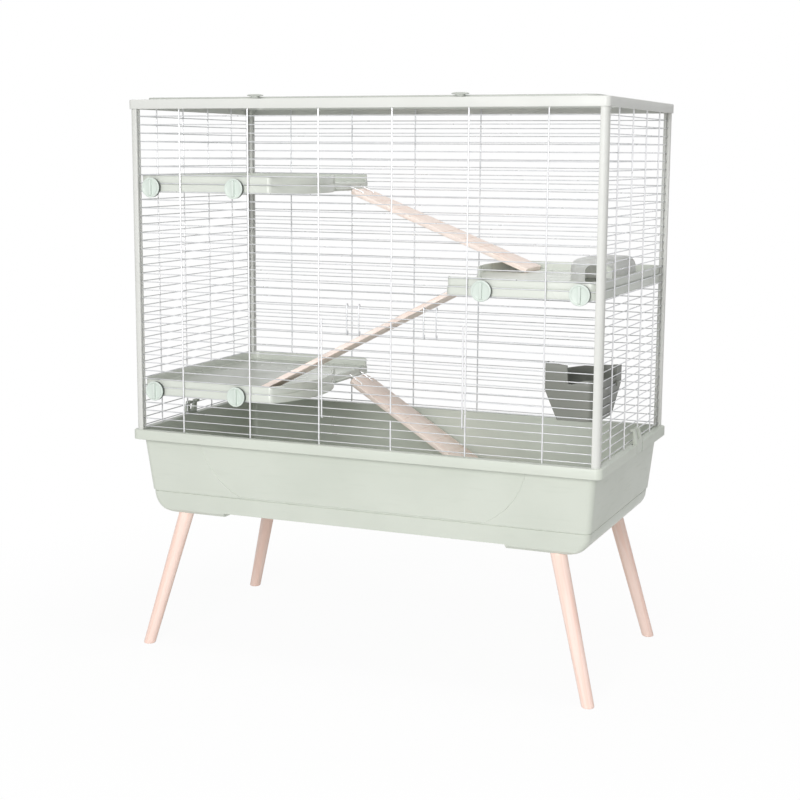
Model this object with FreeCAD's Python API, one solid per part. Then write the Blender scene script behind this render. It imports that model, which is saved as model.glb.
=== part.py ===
# Indoor rabbit and rodent cage. A moulded tray on four splayed wooden legs carries a wire cage
# with three clamped platforms, wooden ramps, a nest house and a corner hay bin. The front door
# drops down, the roof door lifts, and two clips hold the cage to the tray.
# Millimetres, +Z up, the front faces -Y, and the origin is on the floor under the middle.
import FreeCAD
import Part
import math
import os

Vector = FreeCAD.Vector
os.makedirs("parts", exist_ok=True)

# Overall sizes
rim_length = 1000.0         # tray rim along X
rim_depth = 515.0           # tray rim along Y
leg_height = 286.0          # floor to the tray's underside
tray_height = 176.0         # tray's underside to the top of its rim
cage_height = 652.0         # tray rim to the underside of the roof frame

# Fits
clearance = 0.3             # gap between pieces that lie against each other
running_fit = 0.10          # radial clearance of a pin that something turns on
seat_fit = 0.05             # radial clearance of a pin that stays put
overcut = 1.0               # how far a cutting shape reaches past what it cuts

# Tray
tray_wall = 3.0
tray_corner = 14.0          # radius of the upright corners
rim_corner = 14.0
corner_facets = 4           # flats that make up a round corner
rim_height = 20.0
rim_overhang = 14.0         # rim's outer face to the wall under it
wall_lean_x = 12.0          # how far the end walls lean in, from rim to step line
wall_lean_y = 15.0          # the same for the long walls
band_height = 44.0          # rounded band between the underside and the step line
band_ledge = 2.0            # how far the band is set back below the step line
band_lean = 3.0
band_chamfer = 6.0
end_round = 40.0            # radius that rounds both ends of the band
foot_rise = 8.0             # the underside is raised this much between its two feet
foot_gap = 610.0            # clear length between the feet
relief_depth = 0.8          # shallow panel moulded into both long walls
relief_top_length = 700.0   # its length under the rim
relief_foot_length = 510.0  # its length on the step line
relief_sag = 19.0           # how far its ends bow out between those two

# Legs
leg_top_diameter = 32.0
leg_foot_diameter = 25.0
foot_inset_x = 19.0         # rim's end to the middle of a foot
foot_inset_y = 20.5
leg_splay_x = 76.0          # how far a foot stands outside its leg's top
leg_splay_y = 36.0
leg_sides = 16              # flats on a leg
stud_diameter = 8.0
stud_depth = 30.0           # length of the stud in the leg
stud_stand = 9.0            # length of the stud in the tray

# Posts and wires
post_size = 15.0
post_round = 9.0            # radius of a post's outer corner
wire_inset = 14.3           # rim's outer face to the plane of the wires
wire_diameter = 2.0         # wires along X and along Y
rib_diameter = 3.0          # upright wires
wire_sides = 6              # flats on a wire
round_sides = 12            # flats on stems, bosses and bores
bend_step = 45.0            # degrees that one straight step of a bend turns
slot_depth = 5.0            # slot in a post that takes the wire ends
first_wire_rise = 7.0       # tray rim to the lowest wire
wire_pitch = 16.6
front_rib_inset = 103.2     # end wires to the first upright wire, front and back
side_rib_inset = 85.7       # front wires to the first upright wire of an end
front_rib_count = 6
side_rib_count = 4

# Roof
roof_height = 18.5
roof_wall = 2.5
roof_flange = 3.0           # thickness of the roof frame's flat top
roof_fit = 0.4
roof_corner = 10.0
roof_opening_margin_x = 38.0    # roof frame's outer face to its opening
roof_opening_margin_y = 34.5
roof_door_margin_x = 28.0       # roof frame's outer face to the roof door
roof_door_margin_y = 17.5
roof_door_plate = 3.8
roof_door_lip = 10.5            # width of the lip that locates the door in the opening
roof_door_depth = 8.8           # how far the lip reaches down
roof_door_corner = 24.0
roof_lip_gap = 0.5
hinge_spread = 480.0            # between the two roof hinges
hinge_pin_diameter = 4.0
knuckle_radius = 4.5
knuckle_width = 18.0
ear_width = 6.0
hinge_setback = 9.0             # roof door's back edge to the hinge pins
latch_spread = 424.0            # between the two roof latches
latch_length = 35.0
latch_width = 10.0
latch_corner = 4.5
latch_thickness = 4.1
latch_setback = 8.5             # roof frame's front face to the latch pivot
latch_stem_diameter = 5.0
latch_boss_diameter = 9.0
latch_head_diameter = 8.0
latch_head_height = 2.0

# Front door and its hooks
door_sill_wire = 3          # the wire that the door hinges on, counted from the lowest
door_rows = 11              # wires that the door interrupts
door_first_rib = 2          # the upright wire left of the door, counted from the left
door_last_rib = 4           # the upright wire right of the door, counted from the left
door_side_gap = 6.0         # middle of a side upright to the middle of the door's own upright
door_top_rise = 9.0         # door's last row to its top wire
door_curl = 205.0           # degrees that the door's uprights curl round the sill wire
hook_diameter = 2.5
hook_bend = 2.4
hook_width = 25.5
hook_spread = 160.0
hook_drop = 5.0             # how far the hook turns down behind its wire
hook_tail = 8.0

# Tray clips
clip_width = 42.0
clip_place = 29.0           # middle of the right-hand clip along Y; the left one mirrors it
clip_thickness = 9.0
clip_side_gap = 0.7
clip_back_gap = 2.5
clip_shoulder = 2.0         # the rim to where a clip starts to lean in
clip_lean = 6.0
clip_throat = 1.2           # how far its inner face leans in, up to the prongs
clip_prong = 4.0
clip_fork = 16.0            # gap between a clip's two prongs
clip_reach = 2.2            # how far the prongs reach past the wire
clip_wire = 1               # the wire that the prongs hook over, counted from the lowest
clip_pin_diameter = 3.0
clip_pin_rise = 8.0         # under side of the rim to the pin
clip_ear = 6.0
clip_ear_root = 2.1         # how far an ear is sunk into the tray's wall
clip_ear_rise = 1.0         # under side of the rim to the ears

# Platforms
platform_gap = 0.5          # wires to a platform's skirt
platform_reach = 299.0      # end wall to the platform's straight edge
nose_reach = 43.0           # how far the landing nose bulges past that edge
straight_edge = 191.7       # length of the edge beside the nose, which holds the ramp gate
floor_rise = 17.0           # underside to the floor's top
floor_thickness = 3.0
rim_rise = 17.0             # the rim above the floor
platform_wall = 3.0
rim_setback = 1.5           # the rim stands this far inside the skirt
post_corner = 24.0          # corner radius that clears the posts
nose_corner = 12.0
nose_facets = 10            # flats round the nose
gate_margin = 15.0          # from the ends of the straight edge to the gap in its rim
bead_radius = 3.5           # round bar at the foot of the gate that the ramp hooks on to
knob_rise = 10.0            # platform's underside to the middle of a knob
knob_inset_near = 36.0      # platform's end to its first knob
knob_rib_gap = 29.7         # second knob to the upright wire beside it
upper_gap = 29              # the gap between wires that the upper knobs pass, counted from the lowest
middle_gap = 18             # the same for the middle knobs, counted from the lowest
lower_gap = 4               # the same for the lower knobs, counted from the lowest
upper_shift = 0.0           # stem to the middle of that gap
middle_shift = 2.5
lower_shift = 1.0

# Knobs
knob_diameter = 40.0
knob_sides = 18             # flats on a knob and its washer
knob_thickness = 6.0
grip_length = 32.0
grip_width = 6.0
grip_height = 3.5
stem_diameter = 5.0
stem_length = 15.0          # behind the knob's disc
washer_diameter = 36.0
washer_thickness = 2.0
boss_radius = 6.5
boss_length = 9.0

# Ramps
ramp_width = 100.0
ramp_thickness = 9.0
ramp_inset = 74.7           # platform's long side to the middle of a ramp
ramp_start = 9.0            # hinge to the ramp's upper end
ramp_top_corner = 20.0
ramp_landing = 40.0         # how far a ramp reaches past the edge of the platform that it lands on
lower_ramp_run = 371.0      # the lowest ramp along X, down to the tray
groove_pitch = 42.0
groove_width = 3.0
groove_depth = 1.5
ramp_hook_diameter = 3.0
ramp_hook_spread = 56.0
ramp_hook_tail = 34.0       # hinge to the prong that goes into the wood
ramp_hook_prong = 6.0
ramp_hook_bend = 2.5
ramp_hook_wrap = 150.0      # degrees that a hook wraps round the bead
bead_fit = 0.2
hook_slot_gap = 2.0         # a ramp hook to the sides of its slot in the platform

# Nest house
house_length = 100.0
house_depth = 155.0
house_height = 48.0
house_wall = 3.0
house_place = -17.0         # its middle along Y
house_end_gap = 1.2
house_corner = 26.0
house_crown = 20.0
crown_steps = 4             # flats from its wall over to its top
house_seat = 0.2
doorway_width = 52.0
doorway_height = 36.0
doorway_offset = 11.0
doorway_corner = 12.0

# Hay bin
bin_wall = 2.5
bin_front_leg = 100.0       # along the front wires
bin_side_leg = 170.0        # along the end wires
bin_foot_front_leg = 76.0
bin_foot_side_leg = 105.0
bin_bulge = 0.74            # share of both legs where the curved face bows out most
bin_facets = 10             # flats on that face
bin_wire = 8                # the end wire that its hooks hang on, counted from the lowest
bin_top_rise = 50.6         # that wire to the ears
bin_rim_drop = 22.0         # ears to the rim of the curved face
bin_dip_drop = 40.0         # ears to the rim between them, along the wires
bin_dip_depth = 30.0        # how far that dip reaches in from the wires
bin_waist_drop = 52.0       # ears to where the bin starts to narrow
bin_height = 107.0
bin_front_ear = 44.0        # length of the ear on the front wires
bin_side_ear = 38.0         # length of the ear on the end wires
bin_ear_depth = 10.0        # how far the ears reach in from the wires
bin_ear_fall = 20.0         # front ear to the ear on the end wires, which is lower
bin_hook_width = 16.0
bin_hook_thickness = 3.0
bin_hook_drop = 8.5
bin_hook_places = (0.16, 0.76)  # along the side leg

# Levels and planes that the pieces share
rim_top = leg_height + tray_height
rim_bottom = rim_top - rim_height
shelf_z = rim_top - tray_wall
step_z = leg_height + band_height
tray_floor = leg_height + foot_rise + tray_wall
roof_bottom = rim_top + cage_height
roof_top = roof_bottom + roof_height
flange_z = roof_top - roof_flange
half_rim_x = rim_length / 2
half_rim_y = rim_depth / 2
wall_x = half_rim_x - rim_overhang
wall_y = half_rim_y - rim_overhang
step_x = wall_x - wall_lean_x
step_y = wall_y - wall_lean_y
wire_x = half_rim_x - wire_inset
wire_y = half_rim_y - wire_inset
wire_r = wire_diameter / 2
wire_reach = wire_r / math.cos(math.pi / wire_sides)
rib_r = rib_diameter / 2
rib_offset = wire_r + rib_r
post_inner_x = wire_x - post_size / 2
post_inner_y = wire_y - post_size / 2
roof_half_x = wire_x + post_size / 2 + roof_fit + roof_wall
roof_half_y = wire_y + post_size / 2 + roof_fit + roof_wall
wire_base = rim_top + first_wire_rise
wire_count = int((cage_height - 2 * first_wire_rise) / wire_pitch) + 1
platform_x = wire_x - wire_r - platform_gap
platform_y = wire_y - wire_r - platform_gap
edge_x = platform_x - platform_reach
nose_end = platform_y - straight_edge
ramp_place = platform_y - ramp_inset
front_bay = 2 * (wire_x - front_rib_inset) / (front_rib_count - 1)
side_bay = 2 * (wire_y - side_rib_inset) / (side_rib_count - 1)
front_ribs = [front_rib_inset - wire_x + i * front_bay for i in range(front_rib_count)]
side_ribs = [side_rib_inset - wire_y + i * side_bay for i in range(side_rib_count)]
knob_inset_far = platform_x + front_ribs[1] - knob_rib_gap


def wire_z(number):
    """Height of a wire, counted from the lowest."""
    return wire_base + number * wire_pitch


upper_z = wire_z(upper_gap + 0.5) + upper_shift - knob_rise
middle_z = wire_z(middle_gap + 0.5) + middle_shift - knob_rise
lower_z = wire_z(lower_gap + 0.5) + lower_shift - knob_rise

SIDES = (("left", -1), ("right", 1))
ENDS = (("front", -1), ("back", 1))


def save(name, *solids):
    """Write one node: a single solid, or a group of separate solids."""
    shape = solids[0] if len(solids) == 1 else Part.makeCompound(list(solids))
    shape.exportStep("parts/" + name + ".step")


def block(x_range, y_range, z_range):
    """Box between two values on each axis, in either order."""
    low = Vector(min(x_range), min(y_range), min(z_range))
    high = Vector(max(x_range), max(y_range), max(z_range))
    size = high - low
    return Part.makeBox(size.x, size.y, size.z, low)


def flat_face(points):
    """Flat face with straight sides."""
    return Part.Face(Part.makePolygon(points + points[:1]))


def rounded_rect(half_x, half_y, radius, z):
    """Outline of a rectangle with round corners, about the Z axis."""
    x = half_x - radius
    y = half_y - radius
    points = []
    for cx, cy, start in ((x, y, 0), (-x, y, 90), (-x, -y, 180), (x, -y, 270)):
        for i in range(corner_facets + 1):
            turn = math.radians(start + i * 90 / corner_facets)
            points.append(Vector(cx + radius * math.cos(turn), cy + radius * math.sin(turn), z))
    return points


def slab(half_x, half_y, radius, z_range):
    """Plate with the outline of a rounded rectangle."""
    face = flat_face(rounded_rect(half_x, half_y, radius, z_range[0]))
    return face.extrude(Vector(0, 0, z_range[1] - z_range[0]))


def skin(sections):
    """Solid through matching outlines, with flat faces from each to the next."""
    faces = [flat_face(sections[0]), flat_face(sections[-1])]
    for low, high in zip(sections, sections[1:]):
        for i in range(len(low)):
            faces.append(flat_face([low[i - 1], low[i], high[i], high[i - 1]]))
    return Part.Solid(Part.Shell(faces))


def ring(centre, run, radius, flat, sides):
    """Points round a bar with a number of flats, one of them facing along flat."""
    side = run.cross(flat).normalize()
    reach = radius / math.cos(math.pi / sides)
    points = []
    for i in range(sides):
        turn = (i + 0.5) * 2 * math.pi / sides
        points.append(centre + flat * (reach * math.cos(turn)) + side * (reach * math.sin(turn)))
    return points


def bar(start, end, radius, flat, sides):
    """Straight bar, whose radius is measured to its flats."""
    run = end - start
    return flat_face(ring(start, run, radius, flat, sides)).extrude(run)


def rod(start, end, radius):
    """Straight round bar, for axles and pins."""
    run = end - start
    return Part.makeCylinder(radius, run.Length, start, run)


def bend_path(points, bends):
    """Path whose corners turn in short straight steps that touch their bend circles."""
    path = [points[0]]
    for i, bend in enumerate(bends, 1):
        if bend == 0:
            path.append(points[i])
            continue
        into = (points[i] - points[i - 1]).normalize()
        away = (points[i + 1] - points[i]).normalize()
        turn = into.getAngle(away)
        steps = math.ceil(math.degrees(turn) / bend_step)
        inward = (away - into).normalize()
        centre = points[i] + inward * (bend / math.cos(turn / 2))
        outward = (points[i] - into * (bend * math.tan(turn / 2)) - centre).normalize()
        reach = bend / math.cos(turn / 2 / steps)
        for k in range(steps):
            angle = (k + 0.5) * turn / steps
            path.append(centre + (outward * math.cos(angle) + into * math.sin(angle)) * reach)
    return path + [points[-1]]


def arc_points(start, middle, end, facets):
    """Points along an arc through three places."""
    return Part.Arc(start, middle, end).toShape().discretize(facets + 1)


def bent_wire(points, radius, bends, flat):
    """Wire along straight runs, with a rounded bend at each inner point."""
    path = bend_path(points, bends)
    section = ring(path[0], path[1] - path[0], radius, flat, wire_sides)
    sections = [section]
    for i in range(1, len(path)):
        run = (path[i] - path[i - 1]).normalize()
        onward = (path[i + 1] - path[i]).normalize() if i + 1 < len(path) else run
        mitre = run + onward
        section = [p + run * ((path[i] - p).dot(mitre) / run.dot(mitre)) for p in section]
        sections.append(section)
    return skin(sections)


# Legs

def leg_axis(sx, sy):
    """Middle of a leg's top, and the direction down its length."""
    foot = Vector(sx * (half_rim_x - foot_inset_x), sy * (half_rim_y - foot_inset_y), 0)
    top = foot - Vector(sx * leg_splay_x, sy * leg_splay_y, -leg_height)
    return top, (foot - top).normalize()


def stud(sx, sy, stand, depth, radius):
    """Bar along a leg's axis, from inside the tray to inside the leg."""
    top, down = leg_axis(sx, sy)
    flat = down.cross(Vector(0, 0, 1)).normalize()
    return bar(top - down * stand, top + down * depth, radius, flat, round_sides)


def leg(sx, sy):
    """Tapered leg, cut level with the floor and with the tray's underside."""
    top, down = leg_axis(sx, sy)
    foot = top + down * (leg_height / -down.z)
    up = Vector(0, 0, 1)
    ahead = Vector(1, 0, 0)
    shape = skin([
        ring(foot, up, leg_foot_diameter / 2, ahead, leg_sides),
        ring(top, up, leg_top_diameter / 2, ahead, leg_sides),
    ])
    return shape.cut(stud(sx, sy, stud_stand, stud_depth + clearance, stud_diameter / 2 + seat_fit))


def make_legs():
    studs = []
    for end, sy in ENDS:
        for side, sx in SIDES:
            save("leg_" + end + "_" + side, leg(sx, sy))
            studs.append(stud(sx, sy, stud_stand, stud_depth, stud_diameter / 2))
    save("leg_studs", *studs)


# Tray

def rounded_ends(half_x, radius, z):
    """Long block with round lower ends, which shapes both ends of the tray's band."""
    points = []
    for i in range(corner_facets + 1):
        turn = i * math.pi / 2 / corner_facets
        x = half_x - radius + radius * math.sin(turn)
        points.append(Vector(x, -half_rim_y, z + radius - radius * math.cos(turn)))
    points.append(Vector(half_x, -half_rim_y, step_z + tray_wall))
    points += [Vector(-p.x, p.y, p.z) for p in reversed(points)]
    return flat_face(points).extrude(Vector(0, rim_depth, 0))


def tray_walls(inset):
    """Everything inside the tray's leaning walls, from the step line to the rim."""
    return skin([
        rounded_rect(step_x - inset, step_y - inset, tray_corner - inset, step_z),
        rounded_rect(wall_x - inset, wall_y - inset, tray_corner - inset, shelf_z),
    ])


def tray_band():
    """Lower band of the tray, rounded at both ends and chamfered along the bottom."""
    sections = []
    for setback, z in (
        (band_ledge + band_lean + band_chamfer, leg_height),
        (band_ledge + band_lean, leg_height + band_chamfer),
        (band_ledge, step_z),
    ):
        sections.append(rounded_rect(step_x - setback, step_y - setback, tray_corner - setback, z))
    return skin(sections).common(rounded_ends(step_x - band_ledge, end_round, leg_height))


def tray_hollow():
    """Space inside the tray."""
    low = band_ledge + band_lean + tray_wall
    high = band_ledge + tray_wall
    band = skin([
        rounded_rect(step_x - low, step_y - low, tray_corner - low, tray_floor),
        rounded_rect(step_x - high, step_y - high, tray_corner - high, step_z),
    ])
    band = band.common(rounded_ends(step_x - high, end_round - tray_wall, leg_height + tray_wall))
    mouth_z = (shelf_z, rim_top + overcut)
    mouth = slab(wall_x - tray_wall, wall_y - tray_wall, tray_corner - tray_wall, mouth_z)
    return band.fuse([tray_walls(tray_wall), mouth])


def relief():
    """Shallow panel in both long walls, with bowed ends that draw in towards the step line."""
    top = relief_top_length / 2
    foot = relief_foot_length / 2
    across = math.hypot(top - foot, rim_bottom - step_z)
    bow_x = (top + foot) / 2 + relief_sag * (rim_bottom - step_z) / across
    bow_z = (rim_bottom + step_z) / 2 - relief_sag * (top - foot) / across
    high = Vector(top, -half_rim_y, rim_bottom)
    low = Vector(foot, -half_rim_y, step_z)
    outline = arc_points(high, Vector(bow_x, -half_rim_y, bow_z), low, corner_facets)
    outline += [Vector(-p.x, p.y, p.z) for p in reversed(outline)]
    panel = flat_face(outline).extrude(Vector(0, rim_depth, 0))
    return tray_walls(0).common(panel).cut(tray_walls(relief_depth))


def clip_axis(sx, length):
    """Both ends of a length on the hinge axis of a tray clip."""
    x = sx * (half_rim_x - clip_thickness / 2)
    start = Vector(x, sx * clip_place - length / 2, rim_bottom + clip_pin_rise)
    return start, start + Vector(0, length, 0)


def clip_bore(sx, fit, length):
    """Bore for the hinge pin of a tray clip."""
    start, end = clip_axis(sx, length)
    return bar(start, end, clip_pin_diameter / 2 + fit, Vector(0, 0, 1), round_sides)


def base_tray():
    """Tray with a turned-down rim, a raised underside between two feet, and a notch for each clip."""
    flange = slab(half_rim_x, half_rim_y, rim_corner, (shelf_z, rim_top))
    skirt = slab(half_rim_x, half_rim_y, rim_corner, (rim_bottom, shelf_z))
    skirt = skirt.cut(slab(
        half_rim_x - tray_wall,
        half_rim_y - tray_wall,
        rim_corner - tray_wall,
        (rim_bottom, shelf_z),
    ))
    ears = []
    cuts = [
        tray_hollow(),
        relief(),
        block((-foot_gap / 2, foot_gap / 2), (-rim_depth, rim_depth), (0, leg_height + foot_rise)),
    ]
    ear_start = clip_width / 2 + clip_side_gap
    for side, sx in SIDES:
        middle = sx * clip_place
        x_range = (sx * (wall_x - clip_ear_root), sx * (half_rim_x - tray_wall / 2))
        for sy in (-1, 1):
            y_range = (middle + sy * ear_start, middle + sy * (ear_start + clip_ear))
            ears.append(block(x_range, y_range, (rim_bottom + clip_ear_rise, shelf_z + tray_wall / 2)))
        x_range = (sx * (half_rim_x - clip_thickness - clip_back_gap), sx * (half_rim_x + overcut))
        y_range = (middle - ear_start, middle + ear_start)
        cuts.append(block(x_range, y_range, (rim_bottom - overcut, rim_top + overcut)))
        cuts.append(clip_bore(sx, seat_fit, 2 * (ear_start + clip_ear)))
        for end, sy in ENDS:
            cuts.append(stud(sx, sy, stud_stand + clearance, stud_depth, stud_diameter / 2 + seat_fit))
    shape = flange.fuse([skirt, tray_walls(0), tray_band()] + ears)
    return shape.cut(cuts).removeSplitter()


def tray_clip(sx):
    """Lever set into the rim, with two prongs that hook over a wire of the end panel."""
    outer = half_rim_x
    inner = half_rim_x - clip_thickness
    middle = sx * clip_place
    prong_z = wire_z(clip_wire) + wire_reach + clearance
    shoulder = rim_top + clip_shoulder
    outline = (
        (inner, rim_bottom + clip_shoulder),
        (outer, rim_bottom + clip_shoulder),
        (outer, shoulder),
        (outer - clip_lean, prong_z + clip_prong),
        (wire_x - clip_reach, prong_z + clip_prong),
        (wire_x - clip_reach, prong_z),
        (inner - clip_throat, prong_z),
        (inner, shoulder),
    )
    lever = flat_face([Vector(sx * x, middle - clip_width / 2, z) for x, z in outline])
    lever = lever.extrude(Vector(0, clip_width, 0))
    fork_y = (middle - clip_fork / 2, middle + clip_fork / 2)
    fork = block((0, sx * outer), fork_y, (shoulder + clip_lean, prong_z + clip_prong + overcut))
    return lever.cut([fork, clip_bore(sx, running_fit, clip_width + 2 * overcut)])


def make_tray():
    save("base_tray", base_tray())
    pins = []
    for side, sx in SIDES:
        save("tray_clip_" + side, tray_clip(sx))
        start, end = clip_axis(sx, clip_width + 2 * (clip_side_gap + clip_ear))
        pins.append(rod(start, end, clip_pin_diameter / 2))
    save("tray_clip_pins", *pins)


# Posts and wire panels

def post(sx, sy):
    """Corner post with a round outer corner, and a slot along both inner faces for the wire ends."""
    inner_x = sx * post_inner_x
    inner_y = sy * post_inner_y
    outer_x = sx * (wire_x + post_size / 2)
    outer_y = sy * (wire_y + post_size / 2)
    slot = wire_r + clearance
    outline = bend_path([
        Vector(outer_x, inner_y, rim_top),
        Vector(outer_x, outer_y, rim_top),
        Vector(inner_x, outer_y, rim_top),
    ], [post_round])
    outline.append(Vector(inner_x, inner_y, rim_top))
    body = flat_face(outline).extrude(Vector(0, 0, flange_z - rim_top))
    for_front = block(
        (sx * (post_inner_x - overcut), sx * (post_inner_x + slot_depth)),
        (sy * wire_y - slot, sy * wire_y + slot),
        (rim_top, flange_z),
    )
    for_end = block(
        (sx * wire_x - slot, sx * wire_x + slot),
        (sy * (post_inner_y - overcut), sy * (post_inner_y + slot_depth)),
        (rim_top, flange_z),
    )
    return body.cut([for_front, for_end])


rib_low = rim_top + clearance
rib_high = flange_z - clearance
wire_end_x = post_inner_x + slot_depth - clearance
wire_end_y = post_inner_y + slot_depth - clearance
door_top_wire = door_sill_wire + door_rows + 1
door_left = front_ribs[door_first_rib]
door_right = front_ribs[door_last_rib]


def long_wire(x_range, y, z):
    """Wire along X."""
    return bar(Vector(x_range[0], y, z), Vector(x_range[1], y, z), wire_r, Vector(0, 1, 0), wire_sides)


def upright(x, y, z_range, flat):
    """Upright wire, outside the wires that it is welded to."""
    return bar(Vector(x, y, z_range[0]), Vector(x, y, z_range[1]), rib_r, flat, wire_sides)


def back_panel():
    wires = [long_wire((-wire_end_x, wire_end_x), wire_y, wire_z(i)) for i in range(wire_count)]
    facing = Vector(0, 1, 0)
    for x in front_ribs:
        wires.append(upright(x, wire_y + rib_offset, (rib_low, rib_high), facing))
    return wires


def front_panel():
    """Front wires, with the doorway left open and a round sill wire for the door to turn on."""
    wires = []
    facing = Vector(0, 1, 0)
    for i in range(wire_count):
        z = wire_z(i)
        if i == door_sill_wire:
            start = Vector(-wire_end_x, -wire_y, z)
            wires.append(rod(start, start + Vector(2 * wire_end_x, 0, 0), wire_r))
        elif door_sill_wire < i < door_top_wire:
            wires.append(long_wire((-wire_end_x, door_left + rib_r), -wire_y, z))
            wires.append(long_wire((door_right - rib_r, wire_end_x), -wire_y, z))
        else:
            wires.append(long_wire((-wire_end_x, wire_end_x), -wire_y, z))
    for number, x in enumerate(front_ribs):
        y = -wire_y - rib_offset
        if door_first_rib < number < door_last_rib:
            wires.append(upright(x, y, (rib_low, wire_z(door_sill_wire) + rib_r), facing))
            wires.append(upright(x, y, (wire_z(door_top_wire) - rib_r, rib_high), facing))
        else:
            wires.append(upright(x, y, (rib_low, rib_high), facing))
    return wires


def end_panel(sx):
    facing = Vector(1, 0, 0)
    wires = []
    for i in range(wire_count):
        start = Vector(sx * wire_x, -wire_end_y, wire_z(i))
        end = Vector(sx * wire_x, wire_end_y, wire_z(i))
        wires.append(bar(start, end, wire_r, facing, wire_sides))
    for y in side_ribs:
        wires.append(upright(sx * (wire_x + rib_offset), y, (rib_low, rib_high), facing))
    return wires


def make_cage():
    for end, sy in ENDS:
        for side, sx in SIDES:
            save("post_" + end + "_" + side, post(sx, sy))
    save("front_wire_panel", *front_panel())
    save("back_wire_panel", *back_panel())
    for side, sx in SIDES:
        save(side + "_wire_panel", *end_panel(sx))


# Front door

hinge_y = -wire_y
curl_radius = wire_r + running_fit + rib_r
door_y = hinge_y - curl_radius + rib_offset
door_low = wire_z(door_sill_wire)
door_high = wire_z(door_top_wire - 1) + door_top_rise


def door_upright(x):
    """Side wire of the door, curled round the sill wire at its foot."""
    y = hinge_y - curl_radius
    turn = math.radians(door_curl) / 2
    half = turn / 2
    reach = curl_radius / math.cos(half)
    bends = []
    points = [Vector(x, y, door_high + wire_r)]
    for i in (1, 3):
        aim = math.pi + i * half
        points.append(Vector(x, hinge_y + reach * math.cos(aim), door_low + reach * math.sin(aim)))
        bends.append(curl_radius)
    last = math.pi + 4 * half
    along = Vector(0, -math.sin(last), math.cos(last))
    end = Vector(x, hinge_y + curl_radius * math.cos(last), door_low + curl_radius * math.sin(last))
    points.append(end + along * wire_r)
    return bent_wire(points, rib_r, bends, Vector(0, 1, 0))


def front_door():
    left = door_left + door_side_gap
    right = door_right - door_side_gap
    wires = [door_upright(left), door_upright(right)]
    span = (left - rib_r, right + rib_r)
    rows = [wire_z(door_sill_wire + 1 + i) for i in range(door_rows)]
    for z in rows + [door_high]:
        wires.append(long_wire(span, door_y, z))
    for x in front_ribs[door_first_rib + 1:door_last_rib]:
        wires.append(upright(x, door_y - rib_offset, (rows[0] - rib_r, door_high + wire_r), Vector(0, 1, 0)))
    return wires


def door_hook(sx):
    """Wire catch that is held round the door's wires and turns down behind a wire of the panel."""
    middle = (door_left + door_right) / 2 + sx * hook_spread / 2
    hook_r = hook_diameter / 2
    gap = wire_reach + clearance + hook_r
    front = door_y - wire_r - clearance - hook_r
    back = door_y + wire_r + clearance + hook_r
    low = wire_z(door_top_wire - 2) - gap
    cross = wire_z(door_top_wire + 1) + gap
    high = cross + hook_drop
    tail = ((back, low + hook_tail), (back, low), (front, low))
    catch = ((front, high), (back, high), (back, cross))
    half = [Vector(middle - hook_width / 2, y, z) for y, z in tail + catch]
    other = [Vector(2 * middle - p.x, p.y, p.z) for p in reversed(half)]
    points = half + other
    return bent_wire(points, hook_r, [hook_bend] * (len(points) - 2), Vector(0, 1, 0))


def make_front_door():
    save("front_door", *front_door())
    for side, sx in SIDES:
        save("door_hook_" + side, door_hook(sx))


# Roof

roof_open_x = roof_half_x - roof_opening_margin_x
roof_open_y = roof_half_y - roof_opening_margin_y
roof_door_x = roof_half_x - roof_door_margin_x
roof_door_y = roof_half_y - roof_door_margin_y
lip_x = roof_open_x - roof_lip_gap
lip_y = roof_open_y - roof_lip_gap
grid_x = lip_x - roof_door_lip
grid_y = lip_y - roof_door_lip
plate_z = roof_top + clearance
hinge_pin_y = roof_door_y + hinge_setback
hinge_pin_z = plate_z + knuckle_radius
grid_z = plate_z - roof_door_depth / 2


def hinge_axis(x, width):
    """Both ends of a width on the roof hinge's axis."""
    return Vector(x - width / 2, hinge_pin_y, hinge_pin_z), Vector(x + width / 2, hinge_pin_y, hinge_pin_z)


def hinge_bar(x, radius, width):
    """Bar on the roof hinge's axis."""
    start, end = hinge_axis(x, width)
    return bar(start, end, radius, Vector(0, 0, 1), round_sides)


def latch_axis(sx, z_range):
    """Both ends of a height on a roof latch's pivot."""
    x = sx * latch_spread / 2
    y = latch_setback - roof_half_y
    return Vector(x, y, z_range[0]), Vector(x, y, z_range[1])


def latch_round(sx, radius, z_range):
    """Bar on a roof latch's pivot."""
    start, end = latch_axis(sx, z_range)
    return bar(start, end, radius, Vector(1, 0, 0), round_sides)


def roof_frame():
    """Frame that caps the posts, with the hinge ears on its back edge."""
    shape = slab(roof_half_x, roof_half_y, roof_corner, (roof_bottom, roof_top))
    shape = shape.cut(slab(
        roof_half_x - roof_wall,
        roof_half_y - roof_wall,
        roof_corner - roof_wall,
        (roof_bottom, flange_z),
    ))
    opening = slab(roof_open_x, roof_open_y, roof_door_corner, (flange_z - overcut, roof_top + overcut))
    shape = shape.cut(opening)
    step = knuckle_width / 2 + clearance + ear_width / 2
    for side, sx in SIDES:
        middle = sx * hinge_spread / 2
        for x in (middle - step, middle + step):
            foot = block(
                (x - ear_width / 2, x + ear_width / 2),
                (hinge_pin_y - knuckle_radius, hinge_pin_y + knuckle_radius),
                (roof_top, hinge_pin_z),
            )
            shape = shape.fuse([foot, hinge_bar(x, knuckle_radius, ear_width)])
        width = knuckle_width + 4 * ear_width
        shape = shape.cut(hinge_bar(middle, hinge_pin_diameter / 2 + seat_fit, width))
        start, end = latch_axis(sx, (flange_z - overcut, roof_top + overcut))
        shape = shape.cut(rod(start, end, latch_stem_diameter / 2 + running_fit))
    return shape.removeSplitter()


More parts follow.
